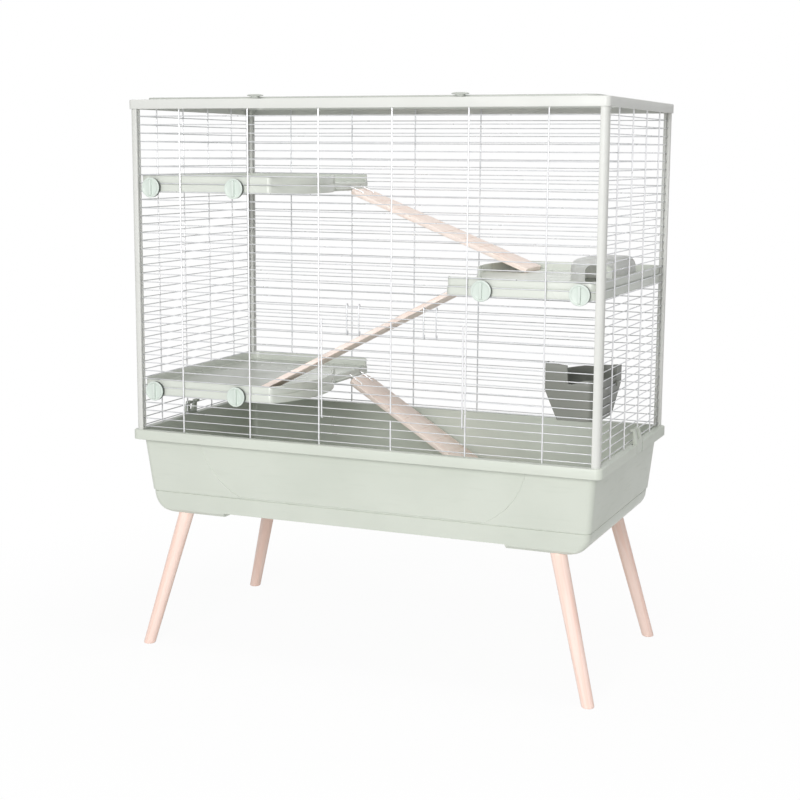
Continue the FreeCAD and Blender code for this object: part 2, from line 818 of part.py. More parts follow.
def roof_door_frame():
    """Lift-up door frame: a flat plate, a lip that drops into the opening and a groove for the grid."""
    plate = slab(roof_door_x, roof_door_y, roof_door_corner, (plate_z, plate_z + roof_door_plate))
    lip = slab(lip_x, lip_y, roof_door_corner - roof_lip_gap, (plate_z - roof_door_depth, plate_z))
    shape = plate.fuse(lip)
    for side, sx in SIDES:
        middle = sx * hinge_spread / 2
        arm = block(
            (middle - knuckle_width / 2, middle + knuckle_width / 2),
            (roof_door_y - hinge_setback, hinge_pin_y),
            (plate_z, plate_z + roof_door_plate),
        )
        shape = shape.fuse([arm, hinge_bar(middle, knuckle_radius, knuckle_width)])
        bore = hinge_bar(middle, hinge_pin_diameter / 2 + running_fit, knuckle_width + 2 * overcut)
        shape = shape.cut(bore)
    corner = roof_door_corner - roof_door_lip
    opening_z = (plate_z - roof_door_depth - overcut, plate_z + roof_door_plate + overcut)
    opening = slab(grid_x, grid_y, corner, opening_z)
    half_groove = wire_r + clearance
    groove_z = (grid_z - half_groove, grid_z + half_groove)
    groove = slab(grid_x + slot_depth, grid_y + slot_depth, corner, groove_z)
    return shape.cut([opening, groove]).removeSplitter()


def roof_grid():
    """Wires of the roof door: long ones in the frame's groove, ribs welded across them."""
    rows = int(grid_y / wire_pitch)
    end = grid_x + slot_depth - clearance
    wires = []
    facing = Vector(0, 0, 1)
    for i in range(-rows + 1, rows):
        start = Vector(-end, i * wire_pitch, grid_z)
        wires.append(bar(start, Vector(end, i * wire_pitch, grid_z), wire_r, facing, wire_sides))
    reach = (rows - 1) * wire_pitch + rib_r
    for x in front_ribs:
        z = grid_z + rib_offset
        wires.append(bar(Vector(x, -reach, z), Vector(x, reach, z), rib_r, facing, wire_sides))
    return wires


def roof_latch(sx):
    """Turn button that swings over the edge of the roof door."""
    bar_z = plate_z + roof_door_plate + clearance
    under = flange_z - clearance
    x = sx * latch_spread / 2
    y = latch_setback - roof_half_y
    button = slab(latch_length / 2, latch_width / 2, latch_corner, (bar_z, bar_z + latch_thickness))
    button.translate(Vector(x, y, 0))
    boss = latch_round(sx, latch_boss_diameter / 2, (plate_z, bar_z))
    stem = latch_round(sx, latch_stem_diameter / 2, (under, plate_z))
    head = latch_round(sx, latch_head_diameter / 2, (under - latch_head_height, under))
    return button.fuse([boss, stem, head]).removeSplitter()


def make_roof():
    save("roof_frame", roof_frame())
    save("roof_door_frame", roof_door_frame())
    save("roof_door_wires", *roof_grid())
    width = knuckle_width + 2 * (ear_width + clearance)
    pins = []
    for side, sx in SIDES:
        start, end = hinge_axis(sx * hinge_spread / 2, width)
        pins.append(rod(start, end, hinge_pin_diameter / 2))
        save("roof_latch_" + side, roof_latch(sx))
    save("roof_hinge_pins", *pins)


# Ramps

class Ramp:
    """A ramp's place: which way it leads, its hinge, and the level that it lands on."""

    def __init__(self, lead, hinge_z, land_z, run):
        self.lead = lead
        self.hinge = Vector(-lead * (edge_x + platform_wall / 2), lead * ramp_place, hinge_z + bead_radius)
        self.top = bead_radius + bead_fit
        self.bottom = self.top - bead_fit - ramp_thickness
        fall = self.hinge.z - land_z - clearance
        self.length = math.sqrt(run * run + fall * fall - self.bottom * self.bottom)
        self.slope = math.atan2(fall, run) - math.atan2(-self.bottom, self.length)

    def place(self, along, off, up):
        """Point at a distance down the ramp, across it, and square to it."""
        x = along * math.cos(self.slope) + up * math.sin(self.slope)
        z = up * math.cos(self.slope) - along * math.sin(self.slope)
        return self.hinge + Vector(self.lead * x, off, z)

    def slab(self, along, off, up):
        """Block in the ramp's own directions."""
        points = []
        for a, u in ((0, 0), (1, 0), (1, 1), (0, 1)):
            points.append(self.place(along[a], off[0], up[u]))
        return flat_face(points).extrude(Vector(0, off[1] - off[0], 0))


platform_run = 2 * edge_x + platform_wall / 2 + ramp_landing
ramps = {
    "upper": Ramp(1, upper_z, middle_z + floor_rise, platform_run),
    "middle": Ramp(-1, middle_z, lower_z + floor_rise, platform_run),
    "lower": Ramp(1, lower_z, tray_floor, lower_ramp_run),
}


def ramp_hook(ramp, off):
    """Wire hook: a prong in the wood, a run along the plank, and a wrap round the platform's bead."""
    hook_r = ramp_hook_diameter / 2
    centre = bead_radius + bead_fit + hook_r
    wrap = math.radians(ramp_hook_wrap)
    lead = centre * math.tan(wrap / 2)
    end = lead + hook_r
    points = [
        ramp.place(ramp_hook_tail, off, ramp.top - ramp_hook_prong),
        ramp.place(ramp_hook_tail, off, centre),
        ramp.place(-lead, off, centre),
        ramp.place(-lead - end * math.cos(wrap), off, centre - end * math.sin(wrap)),
    ]
    down = ramp.place(1, 0, 0) - ramp.hinge
    return bent_wire(points, hook_r, [ramp_hook_bend, centre], down)


def ramp_plank(ramp):
    """Wooden plank with round upper corners and cross grooves for grip."""
    half = ramp_width / 2
    top = ramp.top - bead_fit
    corners = (
        (ramp.length, -half),
        (ramp_start, -half),
        (ramp_start, half),
        (ramp.length, half),
    )
    outline = bend_path([ramp.place(a, off, ramp.bottom) for a, off in corners], [ramp_top_corner] * 2)
    plank = flat_face(outline).extrude(ramp.place(0, 0, top) - ramp.place(0, 0, ramp.bottom))
    cuts = []
    count = int((ramp.length - ramp_hook_tail) / groove_pitch)
    for i in range(1, count):
        start = ramp_hook_tail + i * groove_pitch
        along = (start, start + groove_width)
        off = (-half - overcut, half + overcut)
        cuts.append(ramp.slab(along, off, (top - groove_depth, top + overcut)))
    reach = ramp_hook_diameter / 2 / math.cos(math.pi / wire_sides) + seat_fit
    for sy in (-1, 1):
        off = sy * ramp_hook_spread / 2
        deep = ramp.top - ramp_hook_prong - clearance
        along = (ramp_hook_tail - reach, ramp_hook_tail + reach)
        cuts.append(ramp.slab(along, (off - reach, off + reach), (deep, top + overcut)))
    return plank.cut(cuts)


def make_ramps():
    for name, ramp in ramps.items():
        save(name + "_ramp", ramp_plank(ramp))
        hooks = [ramp_hook(ramp, sy * ramp_hook_spread / 2) for sy in (-1, 1)]
        save(name + "_ramp_hooks", *hooks)


# Platforms and knobs

def platform_outline():
    """Outline of a platform at the left end, with a landing nose in its front half."""
    wall = -platform_x
    edge = -edge_x
    y = platform_y
    tip = Vector(edge + nose_reach, (nose_end - y) / 2, 0)
    nose = arc_points(Vector(edge, -y, 0), tip, Vector(edge, nose_end, 0), nose_facets)
    start = Vector(wall, 0, 0)
    points = [start, Vector(wall, -y, 0)] + nose + [Vector(edge, y, 0), Vector(wall, y, 0), start]
    bends = [post_corner, nose_corner] + [0] * nose_facets + [nose_corner, post_corner]
    return bend_path(points, bends)


def platform_prism(inset, z_range):
    """Prism with a platform's outline, drawn in by a set distance."""
    outline = Part.makePolygon(platform_outline())
    if inset > 0:
        outline = outline.makeOffset2D(-inset, 2)
    prism = Part.Face(outline).extrude(Vector(0, 0, z_range[1] - z_range[0]))
    prism.translate(Vector(0, 0, z_range[0]))
    return prism


def knob_axes(depths):
    """Both ends of each knob's axis, between two depths from the long faces of the skirt."""
    axes = []
    for inset in (knob_inset_near, knob_inset_far):
        for end, sy in ENDS:
            start = Vector(inset - platform_x, sy * (platform_y - depths[0]), knob_rise)
            axes.append((start, start + Vector(0, sy * (depths[0] - depths[1]), 0)))
    return axes


def platform():
    """Moulded platform: a floor on a skirt, with a rim, a landing nose, a ramp gate and knob bosses."""
    top = floor_rise + rim_rise
    shape = platform_prism(0, (0, floor_rise)).fuse(platform_prism(rim_setback, (floor_rise, top)))
    shape = shape.cut(platform_prism(rim_setback + platform_wall, (floor_rise, top + overcut)))
    shape = shape.cut(platform_prism(platform_wall, (-overcut, floor_rise - floor_thickness)))
    up = Vector(0, 0, 1)
    boss_depth = boss_length + platform_wall
    for start, end in knob_axes((0, boss_depth)):
        shape = shape.fuse(bar(start, end, boss_radius, up, round_sides))
    edge = -edge_x
    gate = (nose_end + gate_margin, platform_y - gate_margin)
    gate_x = (edge - rim_setback - platform_wall - overcut, edge + overcut)
    shape = shape.cut(block(gate_x, gate, (floor_rise, top + overcut)))
    bead_x = edge - platform_wall / 2
    bead = rod(Vector(bead_x, gate[0], bead_radius), Vector(bead_x, gate[1], bead_radius), bead_radius)
    shape = shape.fuse(bead)
    half_slot = ramp_hook_diameter / 2 + hook_slot_gap
    slot_x = (edge - platform_wall - overcut, edge + overcut)
    slot_z = (-overcut, 2 * (bead_radius + bead_fit) + ramp_hook_diameter + hook_slot_gap)
    cuts = []
    for start, end in knob_axes((-overcut, boss_depth + overcut)):
        cuts.append(bar(start, end, stem_diameter / 2 + running_fit, up, round_sides))
    for sy in (-1, 1):
        y = ramp_place + sy * ramp_hook_spread / 2
        slot = block(slot_x, (y - half_slot, y + half_slot), slot_z)
        cuts.append(slot.cut(bead))
    return shape.cut(cuts).removeSplitter()


def seated(shape, z, turned):
    """Piece made for the left end, set at its height and, if turned, moved round to the right end."""
    placed = shape.copy()
    if turned:
        placed.rotate(Vector(0, 0, 0), Vector(0, 0, 1), 180)
    placed.translate(Vector(0, 0, z))
    return placed


def knob(x, z):
    """Quarter-turn knob: disc, upright grip and a stem that passes between the wires."""
    back = Vector(x, -wire_y - wire_reach - washer_thickness - 2 * clearance, z)
    front = back - Vector(0, knob_thickness, 0)
    up = Vector(0, 0, 1)
    disc = bar(front, back, knob_diameter / 2, up, knob_sides)
    stem = bar(back, back + Vector(0, stem_length, 0), stem_diameter / 2, up, round_sides)
    grip = block(
        (x - grip_width / 2, x + grip_width / 2),
        (front.y - grip_height, front.y),
        (z - grip_length / 2, z + grip_length / 2),
    )
    return disc.fuse([stem, grip]).removeSplitter()


def knob_washer(x, z):
    """Washer that presses on the wires behind a knob."""
    back = Vector(x, -wire_y - wire_reach - clearance, z)
    front = back - Vector(0, washer_thickness, 0)
    up = Vector(0, 0, 1)
    disc = bar(front, back, washer_diameter / 2, up, knob_sides)
    return disc.cut(bar(front, back, stem_diameter / 2 + clearance, up, round_sides))


def make_platforms():
    moulding = platform()
    upper = seated(moulding, upper_z, False)
    middle = seated(moulding, middle_z, True)
    lower = seated(moulding, lower_z, False)
    save("upper_platform", upper)
    save("middle_platform", middle)
    save("lower_platform", lower)
    washers = []
    for level, z, sx in (("upper", upper_z, -1), ("middle", middle_z, 1), ("lower", lower_z, -1)):
        for place, inset in (("outer", knob_inset_near), ("inner", knob_inset_far)):
            x = sx * (platform_x - inset)
            save(level + "_knob_" + place, knob(x, z + knob_rise))
            washers.append(knob_washer(x, z + knob_rise))
    save("knob_washers", *washers)


# Nest house and hay bin

def dome(half_x, half_y, corner, crown, z_range):
    """Block with round upright corners and a rounded crown."""
    sections = [rounded_rect(half_x, half_y, corner, z_range[0])]
    for i in range(crown_steps + 1):
        turn = i * math.pi / 2 / crown_steps
        inset = crown * (1 - math.cos(turn))
        z = z_range[1] - crown * (1 - math.sin(turn))
        sections.append(rounded_rect(half_x - inset, half_y - inset, corner - inset, z))
    return skin(sections)


def nest_house():
    """Low house with a rounded crown, open below, with a doorway through both long ends."""
    base = middle_z + floor_rise + house_seat
    half_x = house_length / 2
    half_y = house_depth / 2
    shape = dome(half_x, half_y, house_corner, house_crown, (base, base + house_height))
    inside = dome(
        half_x - house_wall,
        half_y - house_wall,
        house_corner - house_wall,
        house_crown - house_wall,
        (base - house_wall, base + house_height - house_wall),
    )
    left = doorway_offset - doorway_width / 2
    right = doorway_offset + doorway_width / 2
    sill = base - overcut
    lintel = base + doorway_height
    corners = ((left, sill), (left, lintel), (right, lintel), (right, sill))
    outline = bend_path([Vector(x, -house_depth, z) for x, z in corners], [doorway_corner] * 2)
    way = flat_face(outline).extrude(Vector(0, 2 * house_depth, 0))
    shape = shape.cut([inside, way])
    rim_inner = platform_x - rim_setback - platform_wall
    shape.translate(Vector(rim_inner - house_end_gap - half_x, house_place, 0))
    return shape


def bin_prism(inset, z_range):
    """Upright prism for the corner: two straight walls, a round corner and a curved face inside."""
    x = platform_x - inset
    y = inset - platform_y
    z = z_range[0]
    front_leg = bin_front_leg - inset
    side_leg = bin_side_leg - inset
    front_end = Vector(platform_x - front_leg, y, z)
    side_end = Vector(x, side_leg - platform_y, z)
    bulge = Vector(platform_x - front_leg * bin_bulge, side_leg * bin_bulge - platform_y, z)
    walls = bend_path([front_end, Vector(x, y, z), side_end], [post_corner - inset])
    face = arc_points(side_end, bulge, front_end, bin_facets)
    return flat_face(walls + face[1:-1]).extrude(Vector(0, 0, z_range[1] - z))


def bin_form(inset, low, high, foot, waist):
    """Corner prism whose two free ends slope in from the waist to the foot."""
    far = bin_side_leg + bin_front_leg
    front_out = platform_x - bin_front_leg + inset
    front_in = platform_x - bin_foot_front_leg + inset
    side_out = bin_side_leg - inset - platform_y
    side_in = bin_foot_side_leg - inset - platform_y
    front_cut = flat_face([
        Vector(front_out, -far, waist),
        Vector(front_in, -far, foot),
        Vector(front_out - far, -far, foot),
    ]).extrude(Vector(0, 3 * far, 0))
    side_cut = flat_face([
        Vector(0, side_out, waist),
        Vector(0, side_in, foot),
        Vector(0, side_out + far, foot),
    ]).extrude(Vector(2 * platform_x, 0, 0))
    return bin_prism(inset, (low, high)).cut([front_cut, side_cut])


def hay_bin():
    """Open corner bin that narrows to its foot, with an ear at both ends, a dip between, and two hooks."""
    top = wire_z(bin_wire) + bin_top_rise
    waist = top - bin_waist_drop
    foot = top - bin_height
    outside = bin_form(0, foot, top, foot, waist)
    inside = bin_form(bin_wall, foot + bin_wall, top + overcut, foot, waist)
    front_end = platform_x - bin_front_leg
    side_end = bin_side_leg - platform_y
    face_rim = block(
        (front_end - overcut, platform_x - bin_ear_depth),
        (bin_ear_depth - platform_y, side_end + overcut),
        (top - bin_rim_drop, top + overcut),
    )
    front_dip = block(
        (front_end + bin_front_ear, platform_x + overcut),
        (-platform_y - overcut, bin_dip_depth - platform_y),
        (top - bin_dip_drop, top + overcut),
    )
    side_dip = block(
        (platform_x - bin_dip_depth, platform_x + overcut),
        (-platform_y - overcut, side_end - bin_side_ear),
        (top - bin_dip_drop, top + overcut),
    )
    low_ear = block(
        (platform_x - bin_dip_depth, platform_x + overcut),
        (side_end - bin_side_ear - overcut, side_end + overcut),
        (top - bin_ear_fall, top + overcut),
    )
    shape = outside.cut([inside, face_rim, front_dip, side_dip, low_ear])
    seat = wire_z(bin_wire) + wire_reach + clearance
    lug_x = wire_x + wire_r + clearance
    for share in bin_hook_places:
        y = share * bin_side_leg - platform_y
        y_range = (y - bin_hook_width / 2, y + bin_hook_width / 2)
        arm = block((platform_x - bin_wall, lug_x + bin_wall), y_range, (seat, seat + bin_hook_thickness))
        lug_z = (seat + bin_hook_thickness - bin_hook_drop, seat + bin_hook_thickness)
        shape = shape.fuse([arm, block((lug_x, lug_x + bin_wall), y_range, lug_z)])
    return shape.removeSplitter()


make_legs()
make_tray()
make_cage()
make_front_door()
make_roof()
make_ramps()
make_platforms()
save("nest_house", nest_house())
save("hay_bin", hay_bin())
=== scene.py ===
# %% [markdown]
# # A rabbit cage on wooden legs
# The CAD model gives every piece its place and its motion. It is drawn with flats, so that it stays light.
# This lesson dresses it: each piece gets its round edges and its finish, and rides on the body that moves it.
# Pieces are worked out in millimetres, and become metres when a mesh is made.

# %% Load the fixed frame
import math

import bmesh
import bpy
import numpy as np
from mathutils import Matrix, Vector


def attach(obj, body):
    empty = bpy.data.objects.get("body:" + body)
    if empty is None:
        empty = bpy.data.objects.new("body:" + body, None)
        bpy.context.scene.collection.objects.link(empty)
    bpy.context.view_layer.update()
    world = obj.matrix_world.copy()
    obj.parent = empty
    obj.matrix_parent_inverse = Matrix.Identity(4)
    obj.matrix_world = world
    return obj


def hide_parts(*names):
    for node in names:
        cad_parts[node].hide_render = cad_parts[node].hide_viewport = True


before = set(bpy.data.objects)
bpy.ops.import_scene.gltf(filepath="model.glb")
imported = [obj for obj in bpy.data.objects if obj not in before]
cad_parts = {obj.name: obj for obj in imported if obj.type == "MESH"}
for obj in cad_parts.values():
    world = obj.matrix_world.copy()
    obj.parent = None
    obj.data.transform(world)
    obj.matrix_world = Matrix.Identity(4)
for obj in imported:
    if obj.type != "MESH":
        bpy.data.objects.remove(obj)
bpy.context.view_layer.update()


def add_object(name, data):
    """A new object in the scene, for a mesh, a camera or a lamp."""
    made = bpy.data.objects.new(name, data)
    bpy.context.collection.objects.link(made)
    return made


# %% [markdown]
# ## Camera
# A photograph fixes the camera: how far it stood, how it was turned, and how long its lens was.
# Blender's camera looks along its own -Z, which is straight down at first. So it is rolled about that line,
# tipped up by a quarter turn and its pitch, turned to its heading, and moved to its place.

# %% Camera at the photograph's place
IMAGE_SIDE = 800
FOCAL_PIXELS = 1524.84
SENSOR = 36.0
CAMERA_PLACE = (1.21072, -2.91054, 1.03090)
YAW, PITCH, ROLL = -0.3961, -0.1608, 0.0062
camera = add_object("camera", bpy.data.cameras.new("camera"))
camera.data.sensor_width = SENSOR
camera.data.lens = FOCAL_PIXELS * SENSOR / IMAGE_SIDE
rolled, tipped = Matrix.Rotation(ROLL, 4, "Z"), Matrix.Rotation(math.pi / 2 + PITCH, 4, "X")
camera.matrix_world = Matrix.Translation(CAMERA_PLACE) @ Matrix.Rotation(-YAW, 4, "Z") @ tipped @ rolled
bpy.context.scene.camera = camera
print("lens %.2f mm" % camera.data.lens)

# %% [markdown]
# ## Nodes with less typing
# A shader is a small tree of nodes. `node` makes one node and fills or links its sockets, and `start_group`
# starts a node group, which is a bundle of nodes that several finishes share.
# Colours are written as they look on screen, and `tone` turns them into the linear values that light needs.

# %% Helpers for shader trees
def tone(red, green, blue):
    """Linear colour from screen values 0 to 255: (value / 255 + 0.055) / 1.055, to the power 2.4."""
    linear = ((np.array([red, green, blue]) / 255 + 0.055) / 1.055) ** 2.4
    return (*linear.tolist(), 1.0)


def feed(tree, sockets, values):
    """Gives each named socket its value, or links it to an output."""
    for key, value in values.items():
        if isinstance(value, bpy.types.NodeSocket):
            tree.links.new(value, sockets[key])
        else:
            sockets[key].default_value = value


def node(tree, kind, inputs=None, **options):
    """A shader node with its options set and its sockets fed."""
    made = tree.nodes.new("ShaderNode" + kind)
    for key, value in options.items():
        setattr(made, key, value)
    feed(tree, made.inputs, inputs or {})
    return made


def start_group(name, inputs, outputs):
    """An empty node group with named sockets, and the ends of it that the nodes inside link to."""
    tree = bpy.data.node_groups.new(name, "ShaderNodeTree")
    for end, sockets in (("INPUT", inputs), ("OUTPUT", outputs)):
        for label, kind in sockets.items():
            tree.interface.new_socket(label, in_out=end, socket_type="NodeSocket" + kind)
    return tree, tree.nodes.new("NodeGroupInput").outputs, tree.nodes.new("NodeGroupOutput").inputs


def blend(tree, factor, first, second):
    """Colour that goes from the first to the second as the factor goes from 0 to 1."""
    return node(tree, "Mix", {0: factor, 6: first, 7: second}, data_type="RGBA").outputs[2]


def spread(tree, value, low, high, out_low, out_high):
    """A value's range mapped on to another range, and held inside it."""
    sockets = {"Value": value, "From Min": low, "From Max": high, "To Min": out_low, "To Max": out_high}
    return node(tree, "MapRange", sockets).outputs[0]


def maths(tree, operation, *values):
    """Result of one sum on values or outputs."""
    return node(tree, "Math", dict(enumerate(values)), operation=operation).outputs[0]


def noise(tree, scale, detail, place=None, stretch=None):
    """Noise between 0 and 1 in Object coordinates or at another place, with a scale for each axis."""
    if place is None:
        place = node(tree, "TexCoord").outputs["Object"]
    if stretch:
        place = node(tree, "Mapping", {"Vector": place, "Scale": stretch}).outputs[0]
    return node(tree, "TexNoise", {"Vector": place, "Scale": scale, "Detail": detail}).outputs[0]


print("white as light:", tone(255, 255, 255)[:3])

# %% [markdown]
# ## Shared effects
# Moulded plastic is never one flat colour: it clouds a little where it cooled unevenly, it has a fine skin,
# and handling leaves faint streaks. A noise in Object coordinates gives each of these at its own scale.
# Edges wear first. Cycles' Bevel node bends the normal near an edge, so where the bent normal and the true
# one differ there is an edge, and a noise breaks it up. Wood is slow along its grain and quick across it, so
# its noise reads an attribute that says how far along and across the board each point lies.

# %% Moulded skin: a cloud at 0.2 m, streaks 8 times as long as wide, and fine grain
SURFACE = {"Color": "Color", "Roughness": "Float", "Height": "Float"}
tree, given, out = start_group("moulded_skin", {"Tone": "Color", "Shade": "Color", "Matt": "Float"}, SURFACE)
cloud, fine = noise(tree, 5.0, 3.0), noise(tree, 900.0, 2.0)
streak = noise(tree, 1.6, 5.0, stretch=(9.0, 9.0, 72.0))
handled = spread(tree, streak, 0.56, 0.74, 0.0, 1.0)
colour = blend(tree, spread(tree, cloud, 0.42, 0.75, 0.0, 0.55), given["Tone"], given["Shade"])
colour = blend(tree, spread(tree, handled, 0.0, 1.0, 0.0, 0.22), colour, given["Shade"])
colour = blend(tree, spread(tree, fine, 0.55, 0.8, 0.0, 0.18), colour, given["Shade"])
dull = maths(tree, "ADD", spread(tree, cloud, 0.3, 0.7, 0.0, 0.1), given["Matt"])
dull = maths(tree, "ADD", dull, spread(tree, handled, 0.0, 1.0, 0.0, 0.14))
feed(tree, out, {"Color": colour, "Roughness": dull, "Height": fine})
MOULDED_SKIN = tree
print("group:", tree.name)

# %% Edge wear: strong where the true normal and one averaged over a small radius differ
tree, given, out = start_group("edge_wear", {"Radius": "Float"}, {"Mask": "Float"})
soft = node(tree, "Bevel", {"Radius": given["Radius"]}, samples=4).outputs[0]
true = node(tree, "NewGeometry").outputs["Normal"]
same = node(tree, "VectorMath", {0: soft, 1: true}, operation="DOT_PRODUCT").outputs["Value"]
edge = spread(tree, same, 0.985, 0.8, 0.0, 1.0)
patch = spread(tree, noise(tree, 60.0, 4.0), 0.38, 0.66, 0.1, 1.0)
feed(tree, out, {"Mask": maths(tree, "MULTIPLY", edge, patch)})
EDGE_WEAR = tree
print("group:", tree.name)

# %% Pine grain: year rings as bands across the board, bent by a slow noise, with pores along it
tree, given, out = start_group("pine_grain", {"Early": "Color", "Late": "Color"}, SURFACE)
board = node(tree, "Attribute", attribute_name="grain").outputs["Vector"]
drift = noise(tree, 1.0, 2.0, board, (26.0, 26.0, 1.7))
rings = maths(tree, "SINE", maths(tree, "MULTIPLY", drift, 46.0))
pores = noise(tree, 1.0, 3.0, board, (620.0, 620.0, 14.0))
colour = blend(tree, spread(tree, rings, 0.1, 1.0, 0.0, 0.5), given["Early"], given["Late"])
colour = blend(tree, spread(tree, pores, 0.54, 0.74, 0.0, 0.45), colour, given["Late"])
dull = spread(tree, pores, 0.3, 0.7, 0.5, 0.68)
feed(tree, out, {"Color": colour, "Roughness": dull, "Height": pores})
PINE_GRAIN = tree
print("group:", tree.name)

# %% Zinc bloom: patchy dulling of plated wire, with fine grain
tree, given, out = start_group("zinc_bloom", {"Bright": "Color", "Dull": "Color"}, SURFACE)
bloom = noise(tree, 34.0, 4.0)
colour = blend(tree, spread(tree, bloom, 0.42, 0.7, 0.0, 0.7), given["Bright"], given["Dull"])
dull = spread(tree, bloom, 0.3, 0.7, 0.26, 0.46)
feed(tree, out, {"Color": colour, "Roughness": dull, "Height": noise(tree, 1500.0, 2.0)})
ZINC_BLOOM = tree
print("group:", tree.name)

# %% [markdown]
# ## Finishes
# Every finish is one Principled shader fed by the groups. The tray is a pale sage plastic, the frame and the
# platforms are paler, the roof lid and the turn buttons take a greyer copy of the frame plastic as painted
# shade, and the knobs have a little mint. The house's shell is thin, so some light comes through it. Legs and
# ramps are bare pine in two tones. The wires are zinc plated; the ribs take a lighter copy of the wire finish
# as a painted reflection, and the level wires and back ribs take the darker copy as painted shade. A number
# that is the same all over is set on the shader itself.

# %% Finishes of the cage
def start_finish(name):
    """A material with only a Principled shader."""
    made = bpy.data.materials.new(name)
    made.use_nodes = True
    return made, made.node_tree, made.node_tree.nodes["Principled BSDF"]


def finish(name, group, values, relief, wear=None, fixed=None):
    """A finish fed by a node group, with fine relief of a height in metres.

    Wear is the colour of worn edges, how far it reaches in metres and how strong it is."""
    made, tree, shader = start_finish(name)
    body = node(tree, "Group", values, node_tree=group).outputs
    colour = body["Color"]
    if wear:
        worn, reach, most = wear
        edge = node(tree, "Group", {"Radius": reach}, node_tree=EDGE_WEAR).outputs["Mask"]
        colour = blend(tree, spread(tree, edge, 0.0, 1.0, 0.0, most), colour, worn)
    raised = node(tree, "Bump", {"Height": body["Height"], "Strength": 1.0, "Distance": relief}).outputs[0]
    feed(tree, shader.inputs, {"Base Color": colour, "Roughness": body["Roughness"], "Normal": raised})
    feed(tree, shader.inputs, fixed or {})
    return made


def plastic(name, main, shade, worn, matt=0.36, fixed=None):
    """Moulded plastic: clouded skin, and worn edges in a third colour."""
    values = {"Tone": tone(*main), "Shade": tone(*shade), "Matt": matt}
    return finish(name, MOULDED_SKIN, values, 0.00006, (tone(*worn), 0.0012, 0.5), fixed)


def timber(name, early, late):
    """Bare pine: grain along the board, edges a little darker from handling."""
    values = {"Early": tone(*early), "Late": tone(*late)}
    return finish(name, PINE_GRAIN, values, 0.00005, (tone(*late), 0.0018, 0.4))


def plated(name, bright, dull, metallic):
    """Plated metal with a patchy bloom."""
    values = {"Bright": tone(*bright), "Dull": tone(*dull)}
    return finish(name, ZINC_BLOOM, values, 0.00002, fixed={"Metallic": metallic})


THIN_SHELL = {
    "Subsurface Weight": 0.8, "Subsurface Radius": (0.030, 0.030, 0.028), "Subsurface Scale": 1.0,
}
TRAY_PLASTIC = plastic("tray_plastic", (207, 212, 202), (193, 199, 188), (226, 229, 223))
FRAME_PLASTIC = plastic("frame_plastic", (217, 218, 214), (206, 207, 202), (233, 233, 230))
# A greyer copy of the frame plastic, painted shade, for the roof lid and the turn buttons.
SHADED_FRAME_PLASTIC = plastic("frame_plastic_painted_shade", (180, 183, 177), (168, 172, 165), (204, 206, 201))
SHELF_PLASTIC = plastic("shelf_plastic", (216, 220, 212), (204, 208, 199), (232, 234, 229), matt=0.24)
KNOB_PLASTIC = plastic("knob_plastic", (212, 221, 214), (198, 209, 201), (232, 237, 234))
# Dark plastic for the washers, partly painted shade behind the knobs.
WASHER_AND_SHADE_PLASTIC = plastic("dark_plastic", (84, 90, 85), (64, 70, 66), (112, 118, 112))
SAGE_PLASTIC = plastic("sage_plastic", (244, 245, 236), (231, 234, 223), (248, 249, 244), fixed=THIN_SHELL)
BIN_PLASTIC = plastic("bin_plastic", (121, 123, 116), (107, 110, 102), (148, 150, 143))
LEG_PINE = timber("leg_pine", (255, 228, 217), (249, 210, 194))
RAMP_PINE = timber("ramp_pine", (255, 240, 231), (248, 223, 209))
# Two copies of the zinc finish: this darker one is painted shade, and the lighter one after it is a painted
# reflection.
ZINC_WIRE = plated("zinc_wire", (221, 222, 224), (194, 196, 199), 0.6)
PAINTED_REFLECTION_WIRE = plated("wire_painted_reflection", (238, 238, 240), (216, 217, 219), 0.5)
STEEL = plated("steel", (176, 177, 179), (134, 136, 139), 0.8)
print("finishes:", len(bpy.data.materials))

# %% [markdown]
# ## Shapes from whole arrays
# A shape here is three things: its points, its four-sided faces, and its end caps. Most are a skin over
# rings: stack rings of points, and join each ring to the next. Straight wires share one formula, so all the
# wires of a panel are one array. A bent wire is a tube carried along a path whose corners are rounded.

# %% Skins, bars, tubes and rounded paths
SLANT = (0.62, 0.49, 0.61)


def unit(vectors):
    """Vectors of length 1 in the same directions."""
    return vectors / np.maximum(np.linalg.norm(vectors, axis=-1, keepdims=True), 1e-9)


def rows_of(*columns):
    """Columns side by side, such as x, y and z, each a number or an array."""
    return np.stack(np.broadcast_arrays(*columns), -1).astype(float)


def quads_of(here):
    """Faces between the neighbours in a grid of point numbers."""
    low, high = here[..., :-1, :], here[..., 1:, :]
    return np.stack([low[..., :-1], low[..., 1:], high[..., 1:], high[..., :-1]], -1).reshape(-1, 4)


def skin(rings, bridge=False, again=False):
    """Faces that join each two neighbours on a ring to the same two on the next ring.

    Ends are closed by one flat cap, or bridged by strips between the mirrored halves of a ring.
    With again, the last ring joins on to the first, as in a frame."""
    rings = np.asarray(rings, float)
    count, size = rings.shape[:2]
    here = np.arange(count * size).reshape(count, size)
    quads = quads_of(np.pad(here, [(0, int(again)), (0, 1)], "wrap"))
    caps = []
    if bridge:
        i = np.arange(size // 2 - 1)
        strip = np.stack([i, i + 1, size - 2 - i, size - 1 - i], -1)
        quads = np.concatenate([quads, here[0][strip], here[-1][strip]])
    elif not again:
        caps = [here[0], here[-1]]
    return rings.reshape(-1, 3), quads, caps


def join(*shapes):
    """Several shapes as one: each one's point numbers start where the last one's stop."""
    starts = np.cumsum([0] + [len(shape[0]) for shape in shapes])
    points = np.concatenate([shape[0] for shape in shapes])
    quads = np.concatenate([shape[1] + start for shape, start in zip(shapes, starts)])
    caps = [cap + start for shape, start in zip(shapes, starts) for cap in shape[2]]
    return points, quads, caps


